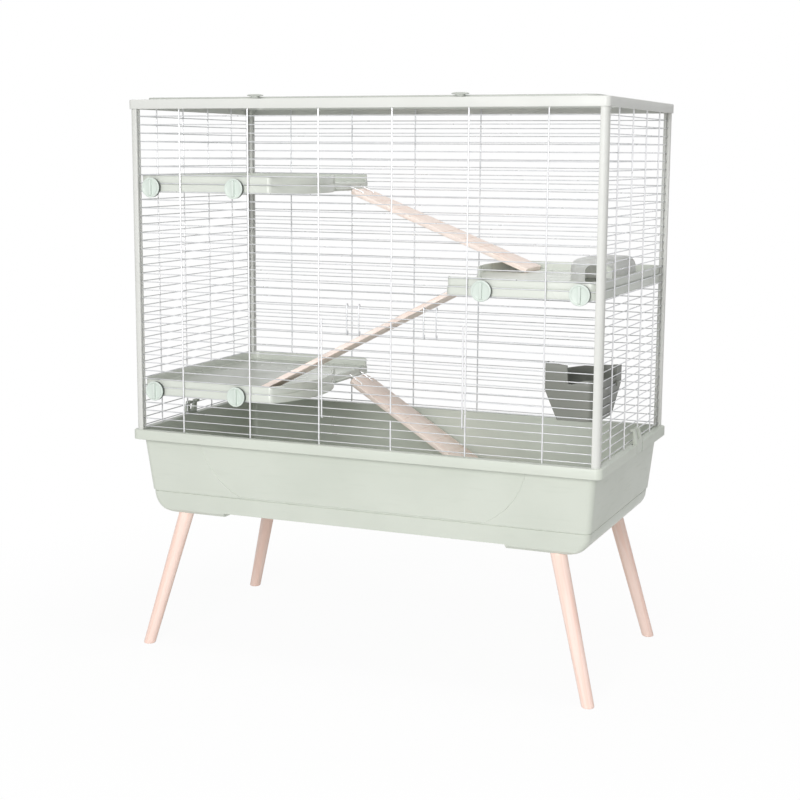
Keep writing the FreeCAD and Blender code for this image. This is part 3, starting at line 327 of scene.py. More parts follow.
def circle(run, radius, sides):
    """Ring round each run: radius times (p cos a + q sin a), with p and q square to the run."""
    run = unit(run)
    p = unit(np.cross(run, SLANT))
    q = np.cross(run, p)
    angle = np.arange(sides)[:, None] * 2 * np.pi / sides
    return radius * (p[..., None, :] * np.cos(angle) + q[..., None, :] * np.sin(angle))


def bars(starts, ends, radius, sides=10, nip=None):
    """Straight round bars, with both ends drawn in by a small nip."""
    starts, ends = np.atleast_2d(starts, ends)
    nip = 0.3 * radius if nip is None else nip
    length = np.linalg.norm(ends - starts, axis=1)[:, None, None]
    run = (ends - starts)[:, None] / length
    along = np.array([0, nip, -nip, 0])[None, :, None] + length * np.array([0, 0, 1, 1])[None, :, None]
    size = 1 - np.array([nip, 0, 0, nip]) / radius
    rings = (starts[:, None] + run * along)[:, :, None] + circle(run, radius, sides) * size[:, None, None]
    here = np.arange(rings[..., 0].size).reshape(rings.shape[:3])
    quads = quads_of(np.pad(here, [(0, 0), (0, 0), (0, 1)], "wrap"))
    return rings.reshape(-1, 3), quads, list(here[:, 0]) + list(here[:, -1])


def tube(path, radius, sides=10):
    """Tube along a path: a ring at each point, square to the line between its neighbours."""
    return skin(path[:, None] + circle(np.gradient(path, axis=0), radius, sides))


def rounded_path(corners, radius, steps=6, closed=False):
    """Path whose corners become arcs.

    Each arc's centre lies on the line that halves its corner, at radius / cos(half the turn) from it."""
    corners = np.asarray(corners, float)
    into = unit(corners - np.roll(corners, 1, 0))
    out = unit(np.roll(corners, -1, 0) - corners)
    turn = np.arccos(np.clip((into * out).sum(1), -1, 1))
    radius = np.broadcast_to(radius, turn.shape)
    inward, along = unit(out - into), unit(into + out)
    centre = corners + inward * (radius / np.cos(turn / 2))[:, None]
    angle = (turn[:, None] * np.linspace(-0.5, 0.5, steps + 1))[..., None]
    arcs = along[:, None] * np.sin(angle) - inward[:, None] * np.cos(angle)
    arcs = centre[:, None] + radius[:, None, None] * arcs
    if closed:
        return arcs.reshape(-1, corners.shape[1])
    middle = arcs[1:-1].reshape(-1, corners.shape[1])
    return np.concatenate([corners[:1], middle, corners[-1:]])


def bend(before, corner, after, radius, steps=8):
    """The round alone of a path with one corner."""
    return rounded_path([before, corner, after], radius, steps)[1:-1]


def loops(rows, centre=(0.0, 0.0), steps=7):
    """Level rounded rectangles: quarter rounds about four corner centres.

    Each row is half length, half depth, corner radius and height."""
    half_x, half_y, radius, z = (column[:, None, None] for column in np.asarray(rows, float).T)
    turn = np.arange(4)[:, None] * np.pi / 2 + np.linspace(0, np.pi / 2, steps + 1)
    x = (half_x - radius) * np.array([1, -1, -1, 1])[:, None] + radius * np.cos(turn) + centre[0]
    y = (half_y - radius) * np.array([1, 1, -1, -1])[:, None] + radius * np.sin(turn) + centre[1]
    return rows_of(x, y, z).reshape(len(rows), -1, 3)


def prism(outline, low, high, axis):
    """Flat outline carried along one axis from low to high."""
    return skin(np.stack([np.insert(outline, axis, level, 1) for level in (low, high)]))


def block(corner, opposite):
    """Square block between two opposite corners, as a prism."""
    low, high = np.sort([corner, opposite], 0)
    outline = [(low[0], low[1]), (high[0], low[1]), (high[0], high[1]), (low[0], high[1])]
    return prism(outline, low[2], high[2], 2)


print("faces of a wire:", len(bars((0, 0, 0), (0, 0, 9), 1.0)[1]))

# %% [markdown]
# ## From a shape to a piece
# A piece is a mesh object that says two things to the frame: which body it rides on, and which CAD nodes it
# stands for. Blender can mend the directions of its faces, smooth its rounds, and leave its true edges sharp.
# A hole is cleanest as an exact Boolean, worked out at once.

# %% Making, cutting and softening pieces
METRES = 0.001


def make_mesh(name, shape):
    """Mesh in metres, with all its faces pointing outwards."""
    points, quads, caps = shape
    mesh = bpy.data.meshes.new(name)
    mesh.from_pydata((points * METRES).tolist(), [], quads.tolist() + [cap.tolist() for cap in caps])
    shell = bmesh.new()
    shell.from_mesh(mesh)
    bmesh.ops.recalc_face_normals(shell, faces=shell.faces)
    shell.to_mesh(mesh)
    shell.free()
    return mesh


def smooth(mesh, sharp):
    """Smooth shading that stops at edges sharper than an angle in degrees."""
    mesh.shade_smooth()
    mesh.set_sharp_from_angle(angle=math.radians(sharp))


def piece(name, shape, body, slot, finish, *nodes, sharp=34.0, grain=None):
    """A finished piece that rides on a body and stands for the named nodes."""
    mesh = make_mesh(name, shape)
    smooth(mesh, sharp)
    mesh.materials.append(finish)
    if grain is not None:
        layer = mesh.attributes.new("grain", "FLOAT_VECTOR", "POINT")
        layer.data.foreach_set("vector", (grain * METRES).ravel())
    made = add_object(name, mesh)
    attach(made, body)
    if nodes:
        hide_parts(*nodes)
    return made


def cut(made, shape, sharp=34.0):
    """Takes a shape out of a piece."""
    tool = add_object("tool", make_mesh("tool", shape))
    hole = made.modifiers.new("cut", "BOOLEAN")
    hole.operation, hole.solver, hole.object = "DIFFERENCE", "EXACT", tool
    whole = made.data
    made.data = bpy.data.meshes.new_from_object(made.evaluated_get(bpy.context.evaluated_depsgraph_get()))
    made.modifiers.clear()
    smooth(made.data, sharp)
    bpy.data.meshes.remove(whole)
    bpy.data.meshes.remove(tool.data)


def soften(made, width):
    """Rounds a piece's sharp edges with a Bevel modifier."""
    smooth(made.data, 180.0)
    edge = made.modifiers.new("soft_edges", "BEVEL")
    edge.width, edge.segments, edge.limit_method = width * METRES, 2, "ANGLE"
    edge.angle_limit = math.radians(32)
    edge.harden_normals = True


SIDES = (("left", -1), ("right", 1))
CORNERS = [("%s_%s" % (end, side), sx, sy) for end, sy in (("front", -1), ("back", 1)) for side, sx in SIDES]
print("corners:", [corner[0] for corner in CORNERS])

# %% [markdown]
# ## Tray
# The tray is one deep moulding: a flat floor, leaning walls, a rim that turns down, a step line above a band
# that curves up at both ends, and a raised underside between two feet. All of it can be read as level loops
# from the floor inside, up over the rim, and down the outside to the underside, so it is one skin.
# Two columns on each long side follow the edge of a shallow relief, and lower down the edges of the feet.

# %% The tray's loops
FLOOR_Z, STEP_Z, RIM_LOW, RIM_TOP = 297.0, 330.0, 442.0, 462.0
COLUMN_STEP, RELIEF_SINK = 0.9, 1.3
FOOT_RISE_Z, FOOT_EDGE = 294.0, 305.0


def tray_loops(rows):
    """Level loops of the tray: quarter rounds at the corners, joined on the long sides by pairs of columns.

    Each row is half length, half depth, corner radius, height, column place and relief depth."""
    half_y, _, z, column, sink = rows.T[1:, :, None]
    corner = loops(rows[:, :4], steps=9).reshape(len(rows), 4, -1, 3)
    pair = np.array([1, -1]) * COLUMN_STEP
    x = np.concatenate([column + pair, -column + pair], 1)
    between = np.array([0, 1, 1, 0])
    y = half_y - sink * between
    raised = np.maximum(z, FOOT_RISE_Z * between)
    back, front = rows_of(x, y, raised), rows_of(-x, -y, raised)
    return np.concatenate([corner[:, 0], back, corner[:, 1], corner[:, 2], front, corner[:, 3]], 1)


def curved_end(z, radius):
    """Half length where the ends curve up: 432 + the square root of radius^2 - (height below 326)^2."""
    return 432 + np.sqrt(np.maximum(radius ** 2 - np.clip(326 - z, 0, radius) ** 2, 0))


def relief_edge(z):
    """Half length of the relief: an arc of radius 151.5 about the point 201.5 along, 471.7 up."""
    return 201.5 + np.sqrt(151.5 ** 2 - (z - 471.7) ** 2)


inside_z = np.array([FLOOR_Z, 298.5, 302, 308, 316, 326, 329.5])
lean = (inside_z - FLOOR_Z) / 33 * 3
inside = rows_of(np.minimum(466 + lean, curved_end(inside_z, 37)), 220.5 + lean, 8, inside_z, FOOT_EDGE, 0)
rim = np.array([
    (471.0, 225.5, 11.0, 330.5), (483.0, 240.5, 11.0, 460.6), (483.4, 240.9, 11.4, 461.6),
    (484.4, 241.9, 12.4, RIM_TOP), (498.4, 255.9, 12.4, RIM_TOP), (499.5, 257.0, 13.5, 461.5),
    (500.0, 257.5, 14.0, 460.4), (500.0, 257.5, 14.0, 442.7), (499.4, 256.9, 13.4, RIM_LOW),
    (497.6, 255.1, 11.6, RIM_LOW), (497.0, 254.5, 11.0, 442.7), (497.0, 254.5, 11.0, 459.0),
])
wall_z = np.array([459, RIM_LOW, 440.8, 425, 405, 385, 365, 345, 334.0, 332.0])
lean = (wall_z - STEP_Z) / 129
sunk = (wall_z < 441) & (wall_z > 333)
wall_edge = relief_edge(np.clip(wall_z, STEP_Z, RIM_LOW))
wall = rows_of(474 + 12 * lean, 228.5 + 15 * lean, 14, wall_z, wall_edge, RELIEF_SINK * sunk)
groove = np.array([(470.4, 224.9, 11.0, 331.4), (470.4, 224.9, 11.0, 329.6), (471.4, 225.9, 12.0, 329.2)])
band_z = np.array([328.8, 322, 314, 306, 300, 296, 292, 289, 286.6, 286])
chamfer = np.clip(292 - band_z, 0, 6)
lean = np.clip(band_z - 292, 0, 38) / 38 * 3
band = rows_of(
    np.minimum(469 + lean - chamfer, curved_end(band_z, 40)), 223.5 + lean - chamfer, 13 - 0.5 * chamfer,
    band_z, np.where(band_z > 325, relief_edge(STEP_Z), FOOT_EDGE), 0,
)
tray_rows = np.concatenate([
    inside, rows_of(*rim.T, relief_edge(RIM_LOW), 0), wall, rows_of(*groove.T, relief_edge(STEP_Z), 0), band,
])
print("tray loops:", len(tray_rows))

# %% The tray and the ears of its clips
TRAY_SHARP = 28.0
CLIP_Y = 29.0
NOTCH_HALF, EAR_PLACE, EAR_HALF = 23.4, 25.6, 2.1
tray = piece(
    "tray", skin(tray_loops(tray_rows), bridge=True), "cage", "tray_plastic", TRAY_PLASTIC, "base_tray",
    sharp=TRAY_SHARP,
)
ears = []
for side, sx in SIDES:
    y = sx * CLIP_Y
    notch = block((sx * 488.5, y - NOTCH_HALF, 440), (sx * 501.0, y + NOTCH_HALF, 464))
    cut(tray, notch, sharp=TRAY_SHARP)
    for middle in (y - EAR_PLACE, y + EAR_PLACE):
        ears.append(block((sx * 484.0, middle - EAR_HALF, 443), (sx * 497.5, middle + EAR_HALF, 459.5)))
piece("clip_ears", join(*ears), "cage", "tray_plastic", TRAY_PLASTIC)
print("tray faces:", len(tray.data.polygons))

# %% [markdown]
# ## Legs
# Four turned pine legs lean outwards and taper to the floor. A leg that leans still has a level foot, so
# each ring stays level while its centre moves along the leaning line.
# The grain attribute runs along the leg, with an own start for each, so that no two look alike.

# %% The four legs
FOOT_X, FOOT_Y, FOOT_RADIUS, TAPER = 481.0, 237.0, 12.5, 3.5
LEG_TOP, LEG_SIDES, LEAN_X, LEAN_Y = 286.0, 32, 76.0, 36.0
leg_z = np.array([0, 0.5, 1.6, 3.5, 60, 120, 180, 240, LEG_TOP])
leg_share = leg_z / LEG_TOP
leg_radius = FOOT_RADIUS + TAPER * leg_share - np.array([1.6, 0.8, 0.2, 0, 0, 0, 0, 0, 0])
leg_angle = np.arange(LEG_SIDES) * 2 * np.pi / LEG_SIDES
off = leg_radius[:, None, None] * rows_of(np.cos(leg_angle), np.sin(leg_angle), 0)
for corner, sx, sy in CORNERS:
    middle = rows_of(sx * (FOOT_X - LEAN_X * leg_share), sy * (FOOT_Y - LEAN_Y * leg_share), leg_z)
    start = (150.0 * sx, 110.0 * sy, 400 * sx + 900 * sy)
    grain = off + rows_of(0, 0, leg_z)[:, None] + start
    name = "leg_" + corner
    piece(name + "_turned", skin(middle[:, None] + off), "cage", "pine", LEG_PINE, name, grain=grain)
print("legs:", len(CORNERS))

# %% [markdown]
# ## Posts
# Each corner post is an extruded plastic bar with a round outer corner, and a slot along both inner faces
# that holds the wire ends. One outline with a radius for each corner, carried upwards, gives the whole post.

# %% The four posts
PANEL_X, PANEL_Y, POST_TOP = 485.7, 243.2, 1129.5
POST_OUTLINE = [
    (-1.8, -7.5), (-1.8, -2.4), (1.8, -2.4), (1.8, -7.5), (7.5, -7.5), (7.5, 7.5), (-7.5, 7.5),
    (-7.5, 1.8), (-2.4, 1.8), (-2.4, -1.8), (-7.5, -1.8), (-7.5, -7.5),
]
POST_ROUND = [0.4, 0.3, 0.3, 0.4, 1.4, 9.0, 1.4, 0.4, 0.3, 0.3, 0.4, 1.4]
post_section = rounded_path(POST_OUTLINE, POST_ROUND, closed=True)
for corner, sx, sy in CORNERS:
    name = "post_" + corner
    post = prism((post_section + (PANEL_X, PANEL_Y)) * (sx, sy), RIM_TOP, POST_TOP, 2)
    piece(name + "_moulded", post, "cage", "frame_plastic", FRAME_PLASTIC, name)
print("post section points:", len(post_section))

# %% [markdown]
# ## Wire panels
# Level wires are welded to upright ribs outside them, about a finger apart. All the wires of one kind are the
# same bar at other places, so starts and ends go into one array for each panel. On the front, wires and one
# rib stop at the doorway.

# %% The four panels
WIRE, RIB, WIRE_PITCH = 1.0, 1.5, 16.6
WIRE_END_X, WIRE_END_Y = 482.9, 240.4
RIB_LOW, RIB_HIGH = 462.3, 1129.2
GAP_LEFT, GAP_RIGHT, GAP_LOW, GAP_HIGH = -75.0, 228.0, 520.3, 716.5
RIB_X, RIB_Y = PANEL_X + WIRE + RIB, PANEL_Y + WIRE + RIB
row_z = 469 + WIRE_PITCH * np.arange(39)
door_rows, whole_rows = row_z[4:15], np.delete(row_z, slice(4, 15))
front_ribs = 153.0 * (np.arange(6) - 2.5)
side_ribs = 105.0 * (np.arange(4) - 1.5)


def level_wires(z, x_low, x_high, y):
    """Wires along X at the given heights."""
    return bars(rows_of(x_low, y, z), rows_of(x_high, y, z), WIRE)


def ribs(x, y, z_low=RIB_LOW, z_high=RIB_HIGH):
    """Upright ribs at the given places."""
    return bars(rows_of(x, y, z_low), rows_of(x, y, z_high), RIB)


def panel(side, wires, uprights, rib_finish=PAINTED_REFLECTION_WIRE):
    """The two pieces of a wire panel, the ribs in the lighter copy of the wire finish as a painted reflection
    unless another is given.
    """
    piece(side + "_wires", wires, "cage", "zinc_wire", ZINC_WIRE, side + "_wire_panel")
    piece(side + "_ribs", uprights, "cage", "zinc_wire", rib_finish)


front_wires = join(
    level_wires(whole_rows, -WIRE_END_X, WIRE_END_X, -PANEL_Y),
    level_wires(door_rows, -WIRE_END_X, GAP_LEFT, -PANEL_Y),
    level_wires(door_rows, GAP_RIGHT, WIRE_END_X, -PANEL_Y),
)
front_uprights = join(
    ribs(front_ribs[[0, 1, 2, 4, 5]], -RIB_Y),
    ribs(front_ribs[3], -RIB_Y, RIB_LOW, GAP_LOW), ribs(front_ribs[3], -RIB_Y, GAP_HIGH, RIB_HIGH),
)
panel("front", front_wires, front_uprights)
# The back ribs take the darker wire copy: painted shade.
panel("back", level_wires(row_z, -WIRE_END_X, WIRE_END_X, PANEL_Y), ribs(front_ribs, RIB_Y), ZINC_WIRE)
for side, sx in SIDES:
    x = sx * PANEL_X
    wires = bars(rows_of(x, -WIRE_END_Y, row_z), rows_of(x, WIRE_END_Y, row_z), WIRE)
    panel(side, wires, ribs(sx * RIB_X, side_ribs))
print("front panel faces:", len(front_wires[1]))

# %% [markdown]
# ## Front door
# The door is a wire frame that drops down: its side wires curl round the sill wire, which is the hinge.
# A curl is part of a circle at the foot of a straight wire, so the path is a line followed by an arc.
# Two wire hooks, each one long bent wire, hold the door shut at its top.

# %% The door and its hooks
HINGE_Y, HINGE_Z, CURL = -PANEL_Y, 518.8, 2.6
DOOR_LEFT, DOOR_RIGHT, DOOR_FOOT, DOOR_TOP = -70.5, 223.5, 533.9, 711.4
turn = np.radians(np.linspace(180, 385, 19))
curl = np.stack([HINGE_Y + CURL * np.cos(turn), HINGE_Z + CURL * np.sin(turn)], 1)
side_wire = np.concatenate([[(HINGE_Y - CURL, DOOR_TOP), (HINGE_Y - CURL, 600.0)], curl])
side_wires = [tube(np.insert(side_wire, 0, x, 1), RIB) for x in (DOOR_LEFT, DOOR_RIGHT)]
door_frame = join(*side_wires, ribs(front_ribs[3], HINGE_Y - CURL, DOOR_FOOT, DOOR_TOP))
door_z = np.append(door_rows, DOOR_TOP - WIRE)
door_wires = level_wires(door_z, DOOR_LEFT - RIB, DOOR_RIGHT + RIB, HINGE_Y - 0.1)
piece("door_wires", door_wires, "front_door", "zinc_wire", ZINC_WIRE, "front_door")
# The door frame takes the lighter wire copy: a painted reflection.
piece("door_frame", door_frame, "front_door", "zinc_wire", PAINTED_REFLECTION_WIRE)
FRONT, BACK, LOW, CROSS, HIGH = -245.85, -240.75, 682.1, 737.3, 742.3
HOOK_WIDTH = 25.5
hook_yz = [(BACK, LOW + 8), (BACK, LOW), (FRONT, LOW), (FRONT, HIGH), (BACK, HIGH), (BACK, CROSS)]
for side, middle in (("left", -3.5), ("right", 156.5)):
    half = np.insert(hook_yz, 0, middle - HOOK_WIDTH / 2, 1)
    corners = np.concatenate([half, half[::-1] + (HOOK_WIDTH, 0, 0)])
    name = "door_hook_" + side
    piece(name + "_wire", tube(rounded_path(corners, 2.4), 1.25), name, "steel", ZINC_WIRE, name)
print("door rows:", len(door_z))

# %% [markdown]
# ## Roof
# A moulded frame caps the posts, and a second frame with wires lifts up inside it on two hinges. Both frames
# are a section carried round a rounded rectangle, so each is a stack of loops that closes on itself.
# Two turn buttons on the front edge hold the roof down: low pebbles on a short stem.

# %% Roof frame, roof door and wires
HINGES = (-240.0, 240.0)
PIN_Y, PIN_Z, EYE = 245.1, 1137.3, 4.5


def knuckle(middle, half, foot_low, foot_z):
    """Hinge eye: a half round about the pin that runs down to a foot."""
    angle = np.radians(np.linspace(-40, 180, 19))
    eye = np.stack([PIN_Y + EYE * np.cos(angle), PIN_Z + EYE * np.sin(angle)], 1)
    foot = [(foot_low, PIN_Z - 1.0), (foot_low, foot_z), (PIN_Y + 3.2, foot_z)]
    return prism(np.concatenate([eye, foot]), middle - half, middle + half, 0)


ROOF_ROWS = [
    (496.1, 253.6, 10.0, 1114.6), (496.1, 253.6, 10.0, 1130.6), (495.6, 253.1, 9.6, 1131.9),
    (494.3, 251.8, 8.6, 1132.5), (458.9, 219.9, 24.5, 1132.5), (458.1, 219.1, 24.0, 1131.8),
    (458.1, 219.1, 24.0, POST_TOP), (493.6, 251.1, 8.0, POST_TOP), (493.6, 251.1, 8.0, 1114.6),
    (494.2, 251.7, 8.4, 1114.0), (495.5, 253.0, 9.5, 1114.0),
]
LID_ROWS = [
    (468.1, 236.1, 24.0, 1132.8), (468.1, 236.1, 24.0, 1134.8), (467.6, 235.6, 23.6, 1136.0),
    (466.4, 234.4, 22.6, 1136.6), (448.6, 209.6, 14.6, 1136.6), (447.5, 208.5, 13.8, 1136.2),
    (447.1, 208.1, 13.5, 1135.2), (447.1, 208.1, 13.5, 1124.6), (447.7, 208.7, 14.0, 1124.0),
    (457.0, 218.0, 23.0, 1124.0), (457.6, 218.6, 23.5, 1124.6), (457.6, 218.6, 23.5, 1132.8),
]
roof_ears = [knuckle(x + gap, 3.0, PIN_Y - EYE, 1132.0) for x in HINGES for gap in (-12.3, 12.3)]
roof = join(skin(loops(ROOF_ROWS), again=True), *roof_ears)
lid = join(skin(loops(LID_ROWS), again=True), *[knuckle(x, 9.0, 229.0, 1133.0) for x in HINGES])
LID_END_X, LID_END_Y, LID_Z = 451.8, 184.1, 1128.4
lid_y, lid_rib_z = WIRE_PITCH * np.arange(-11, 12), LID_Z + WIRE + RIB
lid_wires = join(
    level_wires(LID_Z, -LID_END_X, LID_END_X, lid_y),
    bars(rows_of(front_ribs, -LID_END_Y, lid_rib_z), rows_of(front_ribs, LID_END_Y, lid_rib_z), RIB),
)
piece("roof_cap", roof, "cage", "frame_plastic", FRAME_PLASTIC, "roof_frame")
# The lid takes the greyer copy of the frame plastic: painted shade.
piece("roof_lid", lid, "roof_door", "frame_plastic", SHADED_FRAME_PLASTIC, "roof_door_frame")
piece("roof_lid_wires", lid_wires, "roof_door", "zinc_wire", ZINC_WIRE, "roof_door_wires")
print("roof wires:", len(lid_y) + len(front_ribs))

# %% The two turn buttons
BUTTON_X, BUTTON_Y = 212.0, -245.1
BUTTON_ROWS = [
    (6.5, 4.2, 4.1, 1132.9), (7.8, 4.5, 4.4, 1134.6), (8.2, 4.6, 4.5, 1136.4), (12.0, 4.9, 4.8, 1137.1),
    (16.5, 5.0, 4.9, 1137.9), (17.5, 5.0, 4.9, 1138.6), (16.4, 4.7, 4.6, 1139.7), (13.0, 4.0, 3.9, 1140.6),
    (8.0, 2.6, 2.5, 1141.0),
]
STEM = ((1129.0, 1133.0, 2.5), (1127.2, 1129.2, 4.0))
for side, sx in SIDES:
    at = (sx * BUTTON_X, BUTTON_Y)
    turned = [bars((*at, low), (*at, high), radius, sides=24, nip=0.3) for low, high, radius in STEM]
    button = join(skin(loops(BUTTON_ROWS, at)), *turned)
    name = "roof_latch_" + side
    # The buttons take the greyer copy of the frame plastic: painted shade.
    piece(name + "_button", button, name, "frame_plastic", SHADED_FRAME_PLASTIC, name)
print("button rows:", len(BUTTON_ROWS))

# %% [markdown]
# ## Tray clips
# At each end a lever is set into the rim, and its two prongs hook over a wire, so the cage stays on its tray.
# An outline seen from the front, carried along the clip's width, gives the lever; the fork is cut out after.
# A Bevel modifier gives it the small round edges of a moulding.

# %% The two clips
CLIP_OUTLINE = np.array([
    (491.0, 444.0), (500.0, 444.0), (500.0, 464.0), (494.0, 491.05), (483.5, 491.05), (483.5, 487.05),
    (489.8, 487.05), (491.0, 464.0),
])
CLIP_HALF, FORK_HALF = 21.0, 8.0
for side, sx in SIDES:
    x, y = sx * 490, sx * CLIP_Y
    name = "tray_clip_" + side
    lever = prism(CLIP_OUTLINE * (sx, 1), y - CLIP_HALF, y + CLIP_HALF, 1)
    clip = piece(name + "_lever", lever, name, "tray_plastic", TRAY_PLASTIC, name)
    cut(clip, block((x - 20, y - FORK_HALF, 470), (x + 20, y + FORK_HALF, 500)))
    soften(clip, 0.9)
print("clip width %.0f mm" % (2 * CLIP_HALF))

# %% [markdown]
# ## Platforms
# Three platforms come from one mould; the middle one is turned round. The outline has two round corners at
# the wall, a landing nose in one half, and a straight edge with a gate for the ramp in the other half.
# Loops drawn in from that outline by small steps make the skirt, the floor and the set-back rim, and the
# rim sinks to nothing at the gate. The ramp hangs on a bead along the gate, and its hooks pass two slots.

# %% Outline and loops of a platform
NOSE_CENTRE, NOSE_RADIUS, NOSE_TURN = (-411.05, -95.85), 268.85, math.radians(32.86)
WALL_X, EDGE_X, HALF_Y, NOSE_END = -484.2, -185.2, 241.7, 50.0
WALL_ROUND, EDGE_ROUND = 24.0, 12.0
GATE_LOW, GATE_HIGH, FLOOR_RISE = 65.0, 226.7, 17.0
PLATFORM_ROWS = np.array([
    (3.0, 14.0), (3.0, 0.6), (2.4, 0.0), (0.6, 0.0), (0.0, 0.6), (0.0, 15.6), (0.4, 16.3), (1.0, 16.6),
    (2.4, 16.6), (2.4, 17.8), (1.5, 18.2), (1.5, 33.0), (1.9, 33.8), (2.6, 34.0), (3.4, 34.0), (4.1, 33.8),
    (4.5, 33.0), (4.5, 18.0), (5.4, FLOOR_RISE),
])


def platform_outline():
    """Outline from the front wall corner round the nose, along the gate and back along the wall."""
    nose_way = np.array([math.sin(NOSE_TURN), math.cos(NOSE_TURN)])
    start, end = np.array([EDGE_X, -HALF_Y]), np.array([EDGE_X, NOSE_END])
    angle = np.linspace(-NOSE_TURN + 0.032, NOSE_TURN - 0.02, 26)
    return np.concatenate([
        bend((WALL_X, 0), (WALL_X, -HALF_Y), start, WALL_ROUND),
        bend((-300, -HALF_Y), start, start + 60 * nose_way, EDGE_ROUND),
        NOSE_RADIUS * np.stack([np.cos(angle), np.sin(angle)], 1) + NOSE_CENTRE,
        bend(end - 40 * nose_way * (-1, 1), end, end + (0, 40), EDGE_ROUND, 6),
        [(EDGE_X, y) for y in (GATE_LOW - 1.5, GATE_LOW, GATE_HIGH, GATE_HIGH + 1.2)],
        bend((EDGE_X, 0), (EDGE_X, HALF_Y), (WALL_X, HALF_Y), EDGE_ROUND),
        bend((EDGE_X, HALF_Y), (WALL_X, HALF_Y), (WALL_X, 0), WALL_ROUND),
    ])


def platform_loops(outline):
    """Loops of a platform: the outline moved in along its own normals, with heights from the underside.

    The normal is the line between a point's neighbours, turned a quarter to the left."""
    way = np.roll(outline, -1, 0) - np.roll(outline, 1, 0)
    normal = unit(np.stack([-way[:, 1], way[:, 0]], 1))
    inset, z = PLATFORM_ROWS.T[..., None]
    x, y = outline.T
    gate = (x > EDGE_X - 0.5) & (y > GATE_LOW - 0.1) & (y < GATE_HIGH + 0.1)
    height = np.where(gate & (z > 16.5), FLOOR_RISE, z)
    return np.concatenate([outline + inset[..., None] * normal, height[..., None]], -1)


platform_shape = skin(platform_loops(platform_outline()))
print("platform points:", len(platform_shape[0]))

# %% The three platforms
PLATFORMS = {"upper": (948.7, 1), "middle": (768.6, -1), "lower": (534.7, 1)}
KNOB_X, KNOB_RISE = (-448.2, -259.2), 10.0
BEAD_X, BEAD, HOOK_Y = -186.7, 3.5, (139.0, 195.0)
BOSS_OUT, BOSS_IN = 238.9, 226.7


def seated(shape, z, way):
    """Shape made for the left end, turned round if the way is -1, and set at its height."""
    return shape[0] * (way, way, 1) + (0, 0, z), shape[1], shape[2]


boss_start = np.array([(x, s * BOSS_OUT, KNOB_RISE) for x in KNOB_X for s in (-1, 1)])
bosses = bars(boss_start, boss_start * (1, BOSS_IN / BOSS_OUT, 1), 6.5, sides=20, nip=0.6)
bead = bars((BEAD_X, GATE_LOW, BEAD), (BEAD_X, GATE_HIGH, BEAD), BEAD, sides=20, nip=0.5)
under_side = join(bead, bosses)
slots = join(*[block((-190, y - 3.5, -2), (-183, y + 3.5, 12.4)) for y in HOOK_Y])
for storey, seat in PLATFORMS.items():
    name = storey + "_platform"
    shelf = seated(platform_shape, *seat)
    shelf = piece(name + "_moulded", shelf, "cage", "tray_plastic", SHELF_PLASTIC, name, sharp=30.0)
    cut(shelf, seated(slots, *seat), sharp=30.0)
    piece(name + "_bead", seated(under_side, *seat), "cage", "tray_plastic", SHELF_PLASTIC)
print("platforms:", len(PLATFORMS))

# %% [markdown]
# ## Knobs and washers
# Each platform is clamped to the front wires by two quarter-turn knobs: a dished disc with one upright grip.
# A disc is a profile turned about its axis. The grip is a stack of rounded loops, stood on its end.
# A washer behind each knob presses on the wires; its dark tone is partly the washer's own and partly painted
# shade, the shadow behind the knob.

# %% The six knobs
def lathe(profile, centre, again=False, sides=48):
    """Profile turned about an axis along Y: each row is a radius and a place along Y."""
    radius, y = np.array(profile).T[..., None]
    angle = np.arange(sides) * 2 * np.pi / sides
    points = rows_of(centre[0] + radius * np.cos(angle), y, centre[1] + radius * np.sin(angle))
    return skin(points, again=again)


KNOB_PROFILE = [
    (2.0, -246.95), (17.0, -246.95), (17.6, -247.3), (19.4, -249.6), (20.0, -250.4), (20.0, -251.4),
    (19.6, -252.4), (18.6, -252.9), (17.4, -252.95), (16.6, -252.6), (15.8, -251.7), (14.0, -251.2),
    (8.0, -251.0), (1.0, -251.0),
]
GRIP_ROWS = [
    (3.0, 16.0, 2.6, 250.0), (3.0, 16.0, 2.6, 254.6), (2.7, 15.6, 2.4, 255.7), (2.0, 14.8, 1.9, 256.3),
    (1.2, 13.8, 1.1, 256.45),
]
WASHER_PROFILE = [
    (2.9, -244.65), (19.3, -244.65), (19.6, -245.0), (19.6, -246.3), (19.3, -246.65), (2.9, -246.65),
]
washers = []
for storey, (z, way) in PLATFORMS.items():
    for place, knob_x in zip(("outer", "inner"), KNOB_X):
        x, knob_z = way * knob_x, z + KNOB_RISE
        grip = loops(GRIP_ROWS)[..., [0, 2, 1]] * (1, -1, 1) + (x, 0, knob_z)
        stem = bars((x, -247, knob_z), (x, -231.95, knob_z), 2.5, sides=20, nip=0.5)
        knob = join(lathe(KNOB_PROFILE, (x, knob_z)), skin(grip), stem)
        name = "%s_knob_%s" % (storey, place)
        piece(name + "_disc", knob, name, "knob_plastic", KNOB_PLASTIC, name)
        washers.append(lathe(WASHER_PROFILE, (x, knob_z), again=True))
# The washers' dark tone is partly painted shade behind the knobs.
piece("washers", join(*washers), "cage", "dark_plastic", WASHER_AND_SHADE_PLASTIC, "knob_washers")
print("washers:", len(washers))

# %% [markdown]
# ## Ramps
# Three pine planks lead from floor to floor, each with round upper corners and cross grooves for grip.
# A plank is a rounded section carried along its length: the width shrinks where the corners round off, and
# the top dips at each groove. Two wire hooks wrap round the platform's bead, and are the hinge.

# %% Planks and hooks
PLANK_TOP, PLANK_LOW, PLANK_HALF, PLANK_START, PLANK_CORNER = 3.5, -5.5, 50.0, 9.0, 20.0
GROOVE_PITCH, GROOVE_DEPTH, HOOK_TAIL, RAMP_Y = 42.0, 0.9, 34.0, 167.0
RAMP_LANDS = {"upper": (785.6, 411.9), "middle": (551.7, 411.9), "lower": (FLOOR_Z, 371.0)}


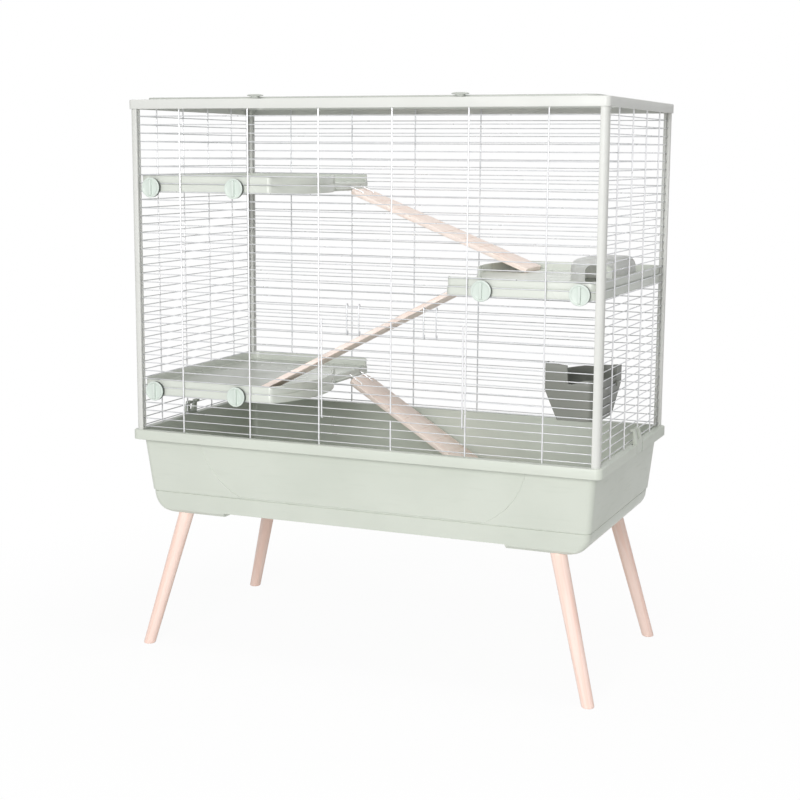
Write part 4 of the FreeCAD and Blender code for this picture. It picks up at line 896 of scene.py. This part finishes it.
def plank_grid(length):
    """Along, across and up for a plank: a rounded section at each place along it.

    The half width is 50 - 20 + the square root of 20^2 - (20 - distance from the start)^2 at the corners."""
    count = np.arange(1, int((length - HOOK_TAIL) / GROOVE_PITCH))[:, None]
    groove = HOOK_TAIL + GROOVE_PITCH * count + np.array([0, 0.5, 2.5, 3.0])
    corner = PLANK_START + PLANK_CORNER * (1 - np.cos(np.linspace(0.08, np.pi / 2, 10)))
    along = np.concatenate([[PLANK_START], corner, groove.ravel(), [length - 1.2, length]])
    dip = np.tile([0, GROOVE_DEPTH, GROOVE_DEPTH, 0], len(groove))
    depth = np.concatenate([np.zeros(11), dip, [0, 0.6]])
    short = np.clip(PLANK_CORNER - (along - PLANK_START), 0, PLANK_CORNER)
    narrow = PLANK_CORNER - np.sqrt(PLANK_CORNER ** 2 - short ** 2)
    half = PLANK_HALF
    section = [(-half, PLANK_LOW), (half, PLANK_LOW), (half, PLANK_TOP), (-half, PLANK_TOP)]
    width, up = rounded_path(section, 1.6, 4, closed=True).T
    across = width - np.sign(width) * narrow[:, None]
    return np.broadcast_to(along[:, None], across.shape), across, up - depth[:, None] * (up > 0)


def plank_lie(fall, run):
    """Length and slope of a plank that hangs on its bead and rests its lower edge on the landing."""
    length = math.sqrt(run ** 2 + fall ** 2 - PLANK_LOW ** 2)
    return length, math.atan2(fall, run) - math.atan2(-PLANK_LOW, length)


def down_ramp(way, slope, along, across, up):
    """Points at distances down a ramp, across it and square to it, from its hinge."""
    x = way * (along * math.cos(slope) + up * math.sin(slope))
    return rows_of(x, across, up * math.cos(slope) - along * math.sin(slope))


wrap = math.radians(150)
HOOK_CORNERS = [
    (HOOK_TAIL, -2.3), (HOOK_TAIL, 5.2), (-19.4, 5.2),
    (-19.4 - 20.9 * math.cos(wrap), 5.2 - 20.9 * math.sin(wrap)),
]
hook_along, hook_up = rounded_path(HOOK_CORNERS, (0, 2.5, 5.2, 0), 12).T
for storey, (land, run) in RAMP_LANDS.items():
    name = storey + "_ramp"
    z, way = PLATFORMS[storey]
    hinge = (way * BEAD_X, way * RAMP_Y, z + BEAD)
    length, slope = plank_lie(hinge[2] - land - 0.3, run)
    along, across, up = plank_grid(length)
    plank = skin(down_ramp(way, slope, along, across, up) + hinge)
    grain = rows_of(across, up * 1.6 + land, along + land)
    piece(name + "_plank", plank, name, "pine", RAMP_PINE, name, grain=grain, sharp=40.0)
    hooks = [tube(down_ramp(way, slope, hook_along, y, hook_up) + hinge, 1.5) for y in (-28.0, 28.0)]
    # The ramp hooks take the lighter wire copy: a painted reflection.
    piece(name + "_wire_hooks", join(*hooks), name, "steel", PAINTED_REFLECTION_WIRE, name + "_hooks")
    print(name, "length %.0f mm" % length)

# %% [markdown]
# ## Nest house
# A small low house stands on the middle platform: a shell with round corners, a rounded crown and a doorway
# through both ends. Outside and inside are stacks of loops joined at the foot, so the wall has its thickness,
# and an outline with a round top cuts the doorway.

# %% The nest house
HOUSE_CENTRE, HOUSE_FOOT, HOUSE_TOP = (428.5, -17.0), 785.8, 833.8
HOUSE_WALL, CROWN = 3.0, 20.0
DOORWAY = [(413.5, 780), (413.5, 821.8), (465.5, 821.8), (465.5, 780)]


def dome_rows(wall_in):
    """Rows of a dome from the foot up: straight to the crown, then a quarter round inwards."""
    crown = CROWN - wall_in
    quarter = np.linspace(0, np.pi / 2, 11)
    inset = wall_in + np.append(0, crown * (1 - np.cos(quarter)))
    z = np.append(HOUSE_FOOT, HOUSE_TOP - wall_in - crown * (1 - np.sin(quarter)))
    return np.stack([50 - inset, 77.5 - inset, np.maximum(26 - inset, 5.5), z], 1)


house_rows = np.concatenate([dome_rows(HOUSE_WALL)[::-1], dome_rows(0.0)])
house_shape = skin(loops(house_rows, HOUSE_CENTRE, steps=9))
house = piece("house_shell", house_shape, "nest_house", "sage_plastic", SAGE_PLASTIC, "nest_house")
cut(house, prism(rounded_path(DOORWAY, 12, 8), -120.0, 90.0, 1))
print("house faces:", len(house.data.polygons))

# %% [markdown]
# ## Hay bin
# A bin hangs in the front right corner: two straight walls, a round corner between them and a curved face
# towards the room, narrowing to its foot. Its rim stands up in an ear at both ends and dips between them.
# The outline is one loop at each height, and above the waist each point climbs to its own rim height.

# %% The hay bin
BIN_X, BIN_Y, BIN_FOOT, BIN_WAIST, BIN_EAR = 484.2, -241.7, 545.4, 600.4, 652.4
BIN_WALL, BIN_ROUND, CORNER_POINTS, FACE_POINTS = 2.5, 24.0, 9, 28
FRONT_SHARES = np.array([0, 3, 10, 20, 30, 41, 43, 50, 60, 72]) / 72
SIDE_SHARES = np.array([0, 17, 34, 51, 68, 85, 96, 103, 105, 114, 123, 131, 137, 140]) / 140


def bin_outline(front, side, inset):
    """Outline of the bin from its front end along the walls, then back along a curved face.

    The face follows (u / front)^2.3 + (v / side)^2.3 = 1, with u and v measured from the corner."""
    front, side, radius = front - inset, side - inset, BIN_ROUND - inset
    wall_u = front - (front - inset - radius - 4) * FRONT_SHARES
    angle = np.linspace(0, np.pi / 2, CORNER_POINTS)
    corner_u = inset + radius * (1 - np.sin(angle))
    corner_v = inset + radius * (1 - np.cos(angle))
    wall_v = inset + radius + 6 + (side - inset - radius - 6) * SIDE_SHARES
    sweep = np.linspace(0, np.pi / 2, FACE_POINTS + 2)[1:-1]
    face_u = inset + (front - inset) * np.sin(sweep) ** (2 / 2.3)
    face_v = inset + (side - inset) * np.cos(sweep) ** (2 / 2.3)
    u = np.concatenate([wall_u, corner_u, 0 * wall_v + inset, face_u])
    v = np.concatenate([0 * wall_u + inset, corner_v, wall_v, face_v])
    return u, v


def rim_heights():
    """Height of the rim at each outline point: high on the ears, low between them, lower along the face."""
    sweep = np.linspace(0, 1, FACE_POINTS)
    face = -20 - 2 * np.clip(sweep / 0.1, 0, 1) + 22 * (1 - np.clip((1 - sweep) / 0.1, 0, 1) ** 0.6)
    return BIN_EAR + np.concatenate([
        [0, 0, -0.7, -1.8, -3, -4.2, -38, -39, -36, -31], np.linspace(-30.5, -29.5, CORNER_POINTS),
        np.linspace(-30, -39, 6), [-39.5, -39, -23, -22, -21, -20, -20, -20], face,
    ])


def bin_ring(share, inset, nip=0.0):
    """Loop of the bin: share -1 is the foot, 0 the waist, 1 the rim."""
    narrow = np.clip(-share, 0, 1)
    u, v = bin_outline(100 - 24 * narrow, 170 - 65 * narrow, inset)
    top = rim_heights() - nip
    z = BIN_WAIST + np.clip(share, 0, 1) * (top - BIN_WAIST) - narrow * (BIN_WAIST - BIN_FOOT)
    return rows_of(BIN_X - u, BIN_Y + v, z)


outer = [bin_ring(share, 0.0) for share in (-1.0, -0.66, -0.33, 0.0, 0.5)]
lip = [bin_ring(1.0, *edge) for edge in ((0.0, 0.8), (0.5,), (2.0,), (BIN_WALL, 0.8))]
inner = [bin_ring(share, BIN_WALL) for share in (0.5, 0.0, -0.33, -0.66, -0.95)]
seat = row_z[8] + 1.5
LUG = [
    (481.7, seat), (487.0, seat), (487.0, seat - 5.5), (489.5, seat - 5.5), (489.5, seat + 3),
    (481.7, seat + 3),
]
lugs = [prism(LUG, y - 8, y + 8, 1) for y in (-214.5, -112.5)]
bin_shape = join(skin(outer + lip + inner), *lugs)
piece("bin_shell", bin_shape, "hay_bin", "sage_plastic", BIN_PLASTIC, "hay_bin", sharp=40.0)
print("bin faces:", len(bin_shape[1]))

# %% [markdown]
# ## Small steel pieces
# Studs and pins are plain turned steel, and the CAD's own rods are right for them. They only need a finish.

# %% Steel for the studs and pins
STEEL_NODES = ("leg_studs", "tray_clip_pins", "roof_hinge_pins")
for name in STEEL_NODES:
    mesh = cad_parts[name].data
    mesh.materials.clear()
    mesh.materials.append(STEEL)
print("steel nodes:", len(STEEL_NODES))

# %% [markdown]
# ## Floor, light and world
# The photograph has a white ground without an edge. The floor is mostly its own light to the camera, so it is
# white, and partly lit, so it keeps the shadow; further out it is all white and meets the white world.
# The world is white to the camera and in reflections, and dimmer as light. One large soft lamp in front, a
# little to the right, lights the front more than the right end. A weaker one above lifts the upper faces.

# %% The stage
WHITE = (1.0, 1.0, 1.0, 1.0)
FLOOR_HALF, FLOOR_LINES = 9000.0, 5


def to_eye(tree):
    """1 for rays that are seen, also in a mirror or through glass, and 0 for rays that gather light."""
    ray = node(tree, "LightPath").outputs
    seen = maths(tree, "MAXIMUM", ray["Is Camera Ray"], ray["Is Glossy Ray"])
    return maths(tree, "MAXIMUM", seen, ray["Is Transmission Ray"])


floor_finish, tree, shader = start_finish("studio_floor")
tree.nodes.remove(shader)
place = node(tree, "TexCoord").outputs["Object"]
far = node(tree, "VectorMath", {0: place}, operation="LENGTH").outputs["Value"]
share = maths(tree, "MULTIPLY", to_eye(tree), spread(tree, far, 0.65, 1.3, 0.95, 1.0))
lit = node(tree, "BsdfDiffuse", {"Color": (0.86, 0.86, 0.85, 1)}).outputs[0]
white = node(tree, "Emission", {"Color": WHITE, "Strength": 1.0}).outputs[0]
mixed = node(tree, "MixShader", {0: share, 1: lit, 2: white}).outputs[0]
feed(tree, tree.nodes["Material Output"].inputs, {"Surface": mixed})
line = np.linspace(-FLOOR_HALF, FLOOR_HALF, FLOOR_LINES)
flat = rows_of(*np.meshgrid(line, line), 0).reshape(-1, 3)
floor_mesh = make_mesh("floor", (flat, quads_of(np.arange(len(flat)).reshape(FLOOR_LINES, -1)), []))
floor_mesh.materials.append(floor_finish)
floor = add_object("floor", floor_mesh)

world = bpy.data.worlds.new("studio")
world.use_nodes = True
bpy.context.scene.world = world
tree = world.node_tree
tree.nodes.clear()
strength = spread(tree, to_eye(tree), 0.0, 1.0, 0.38, 1.0)
glow = node(tree, "Background", {"Color": WHITE, "Strength": strength}).outputs[0]
node(tree, "OutputWorld", {"Surface": glow})
print("floor and world:", floor_finish.name, world.name)


# %% The lamps
def lamp(name, place, aim, size, power):
    """Square soft lamp at a place, turned to face a point."""
    light = bpy.data.lights.new(name, "AREA")
    light.shape, light.size, light.energy = "SQUARE", size, power
    facing = (Vector(aim) - Vector(place)).to_track_quat("-Z", "Y")
    add_object(name, light).matrix_world = Matrix.Translation(place) @ facing.to_matrix().to_4x4()


lamp("key", place=(0.6, -4.4, 1.9), aim=(0, 0, 0.5), size=1.8, power=119.0)
lamp("top", place=(0.6, -0.3, 4.4), aim=(0, 0, 0.6), size=1.2, power=60.0)
bpy.context.scene.view_settings.view_transform = "Standard"
print("lamps:", len(bpy.data.lights))
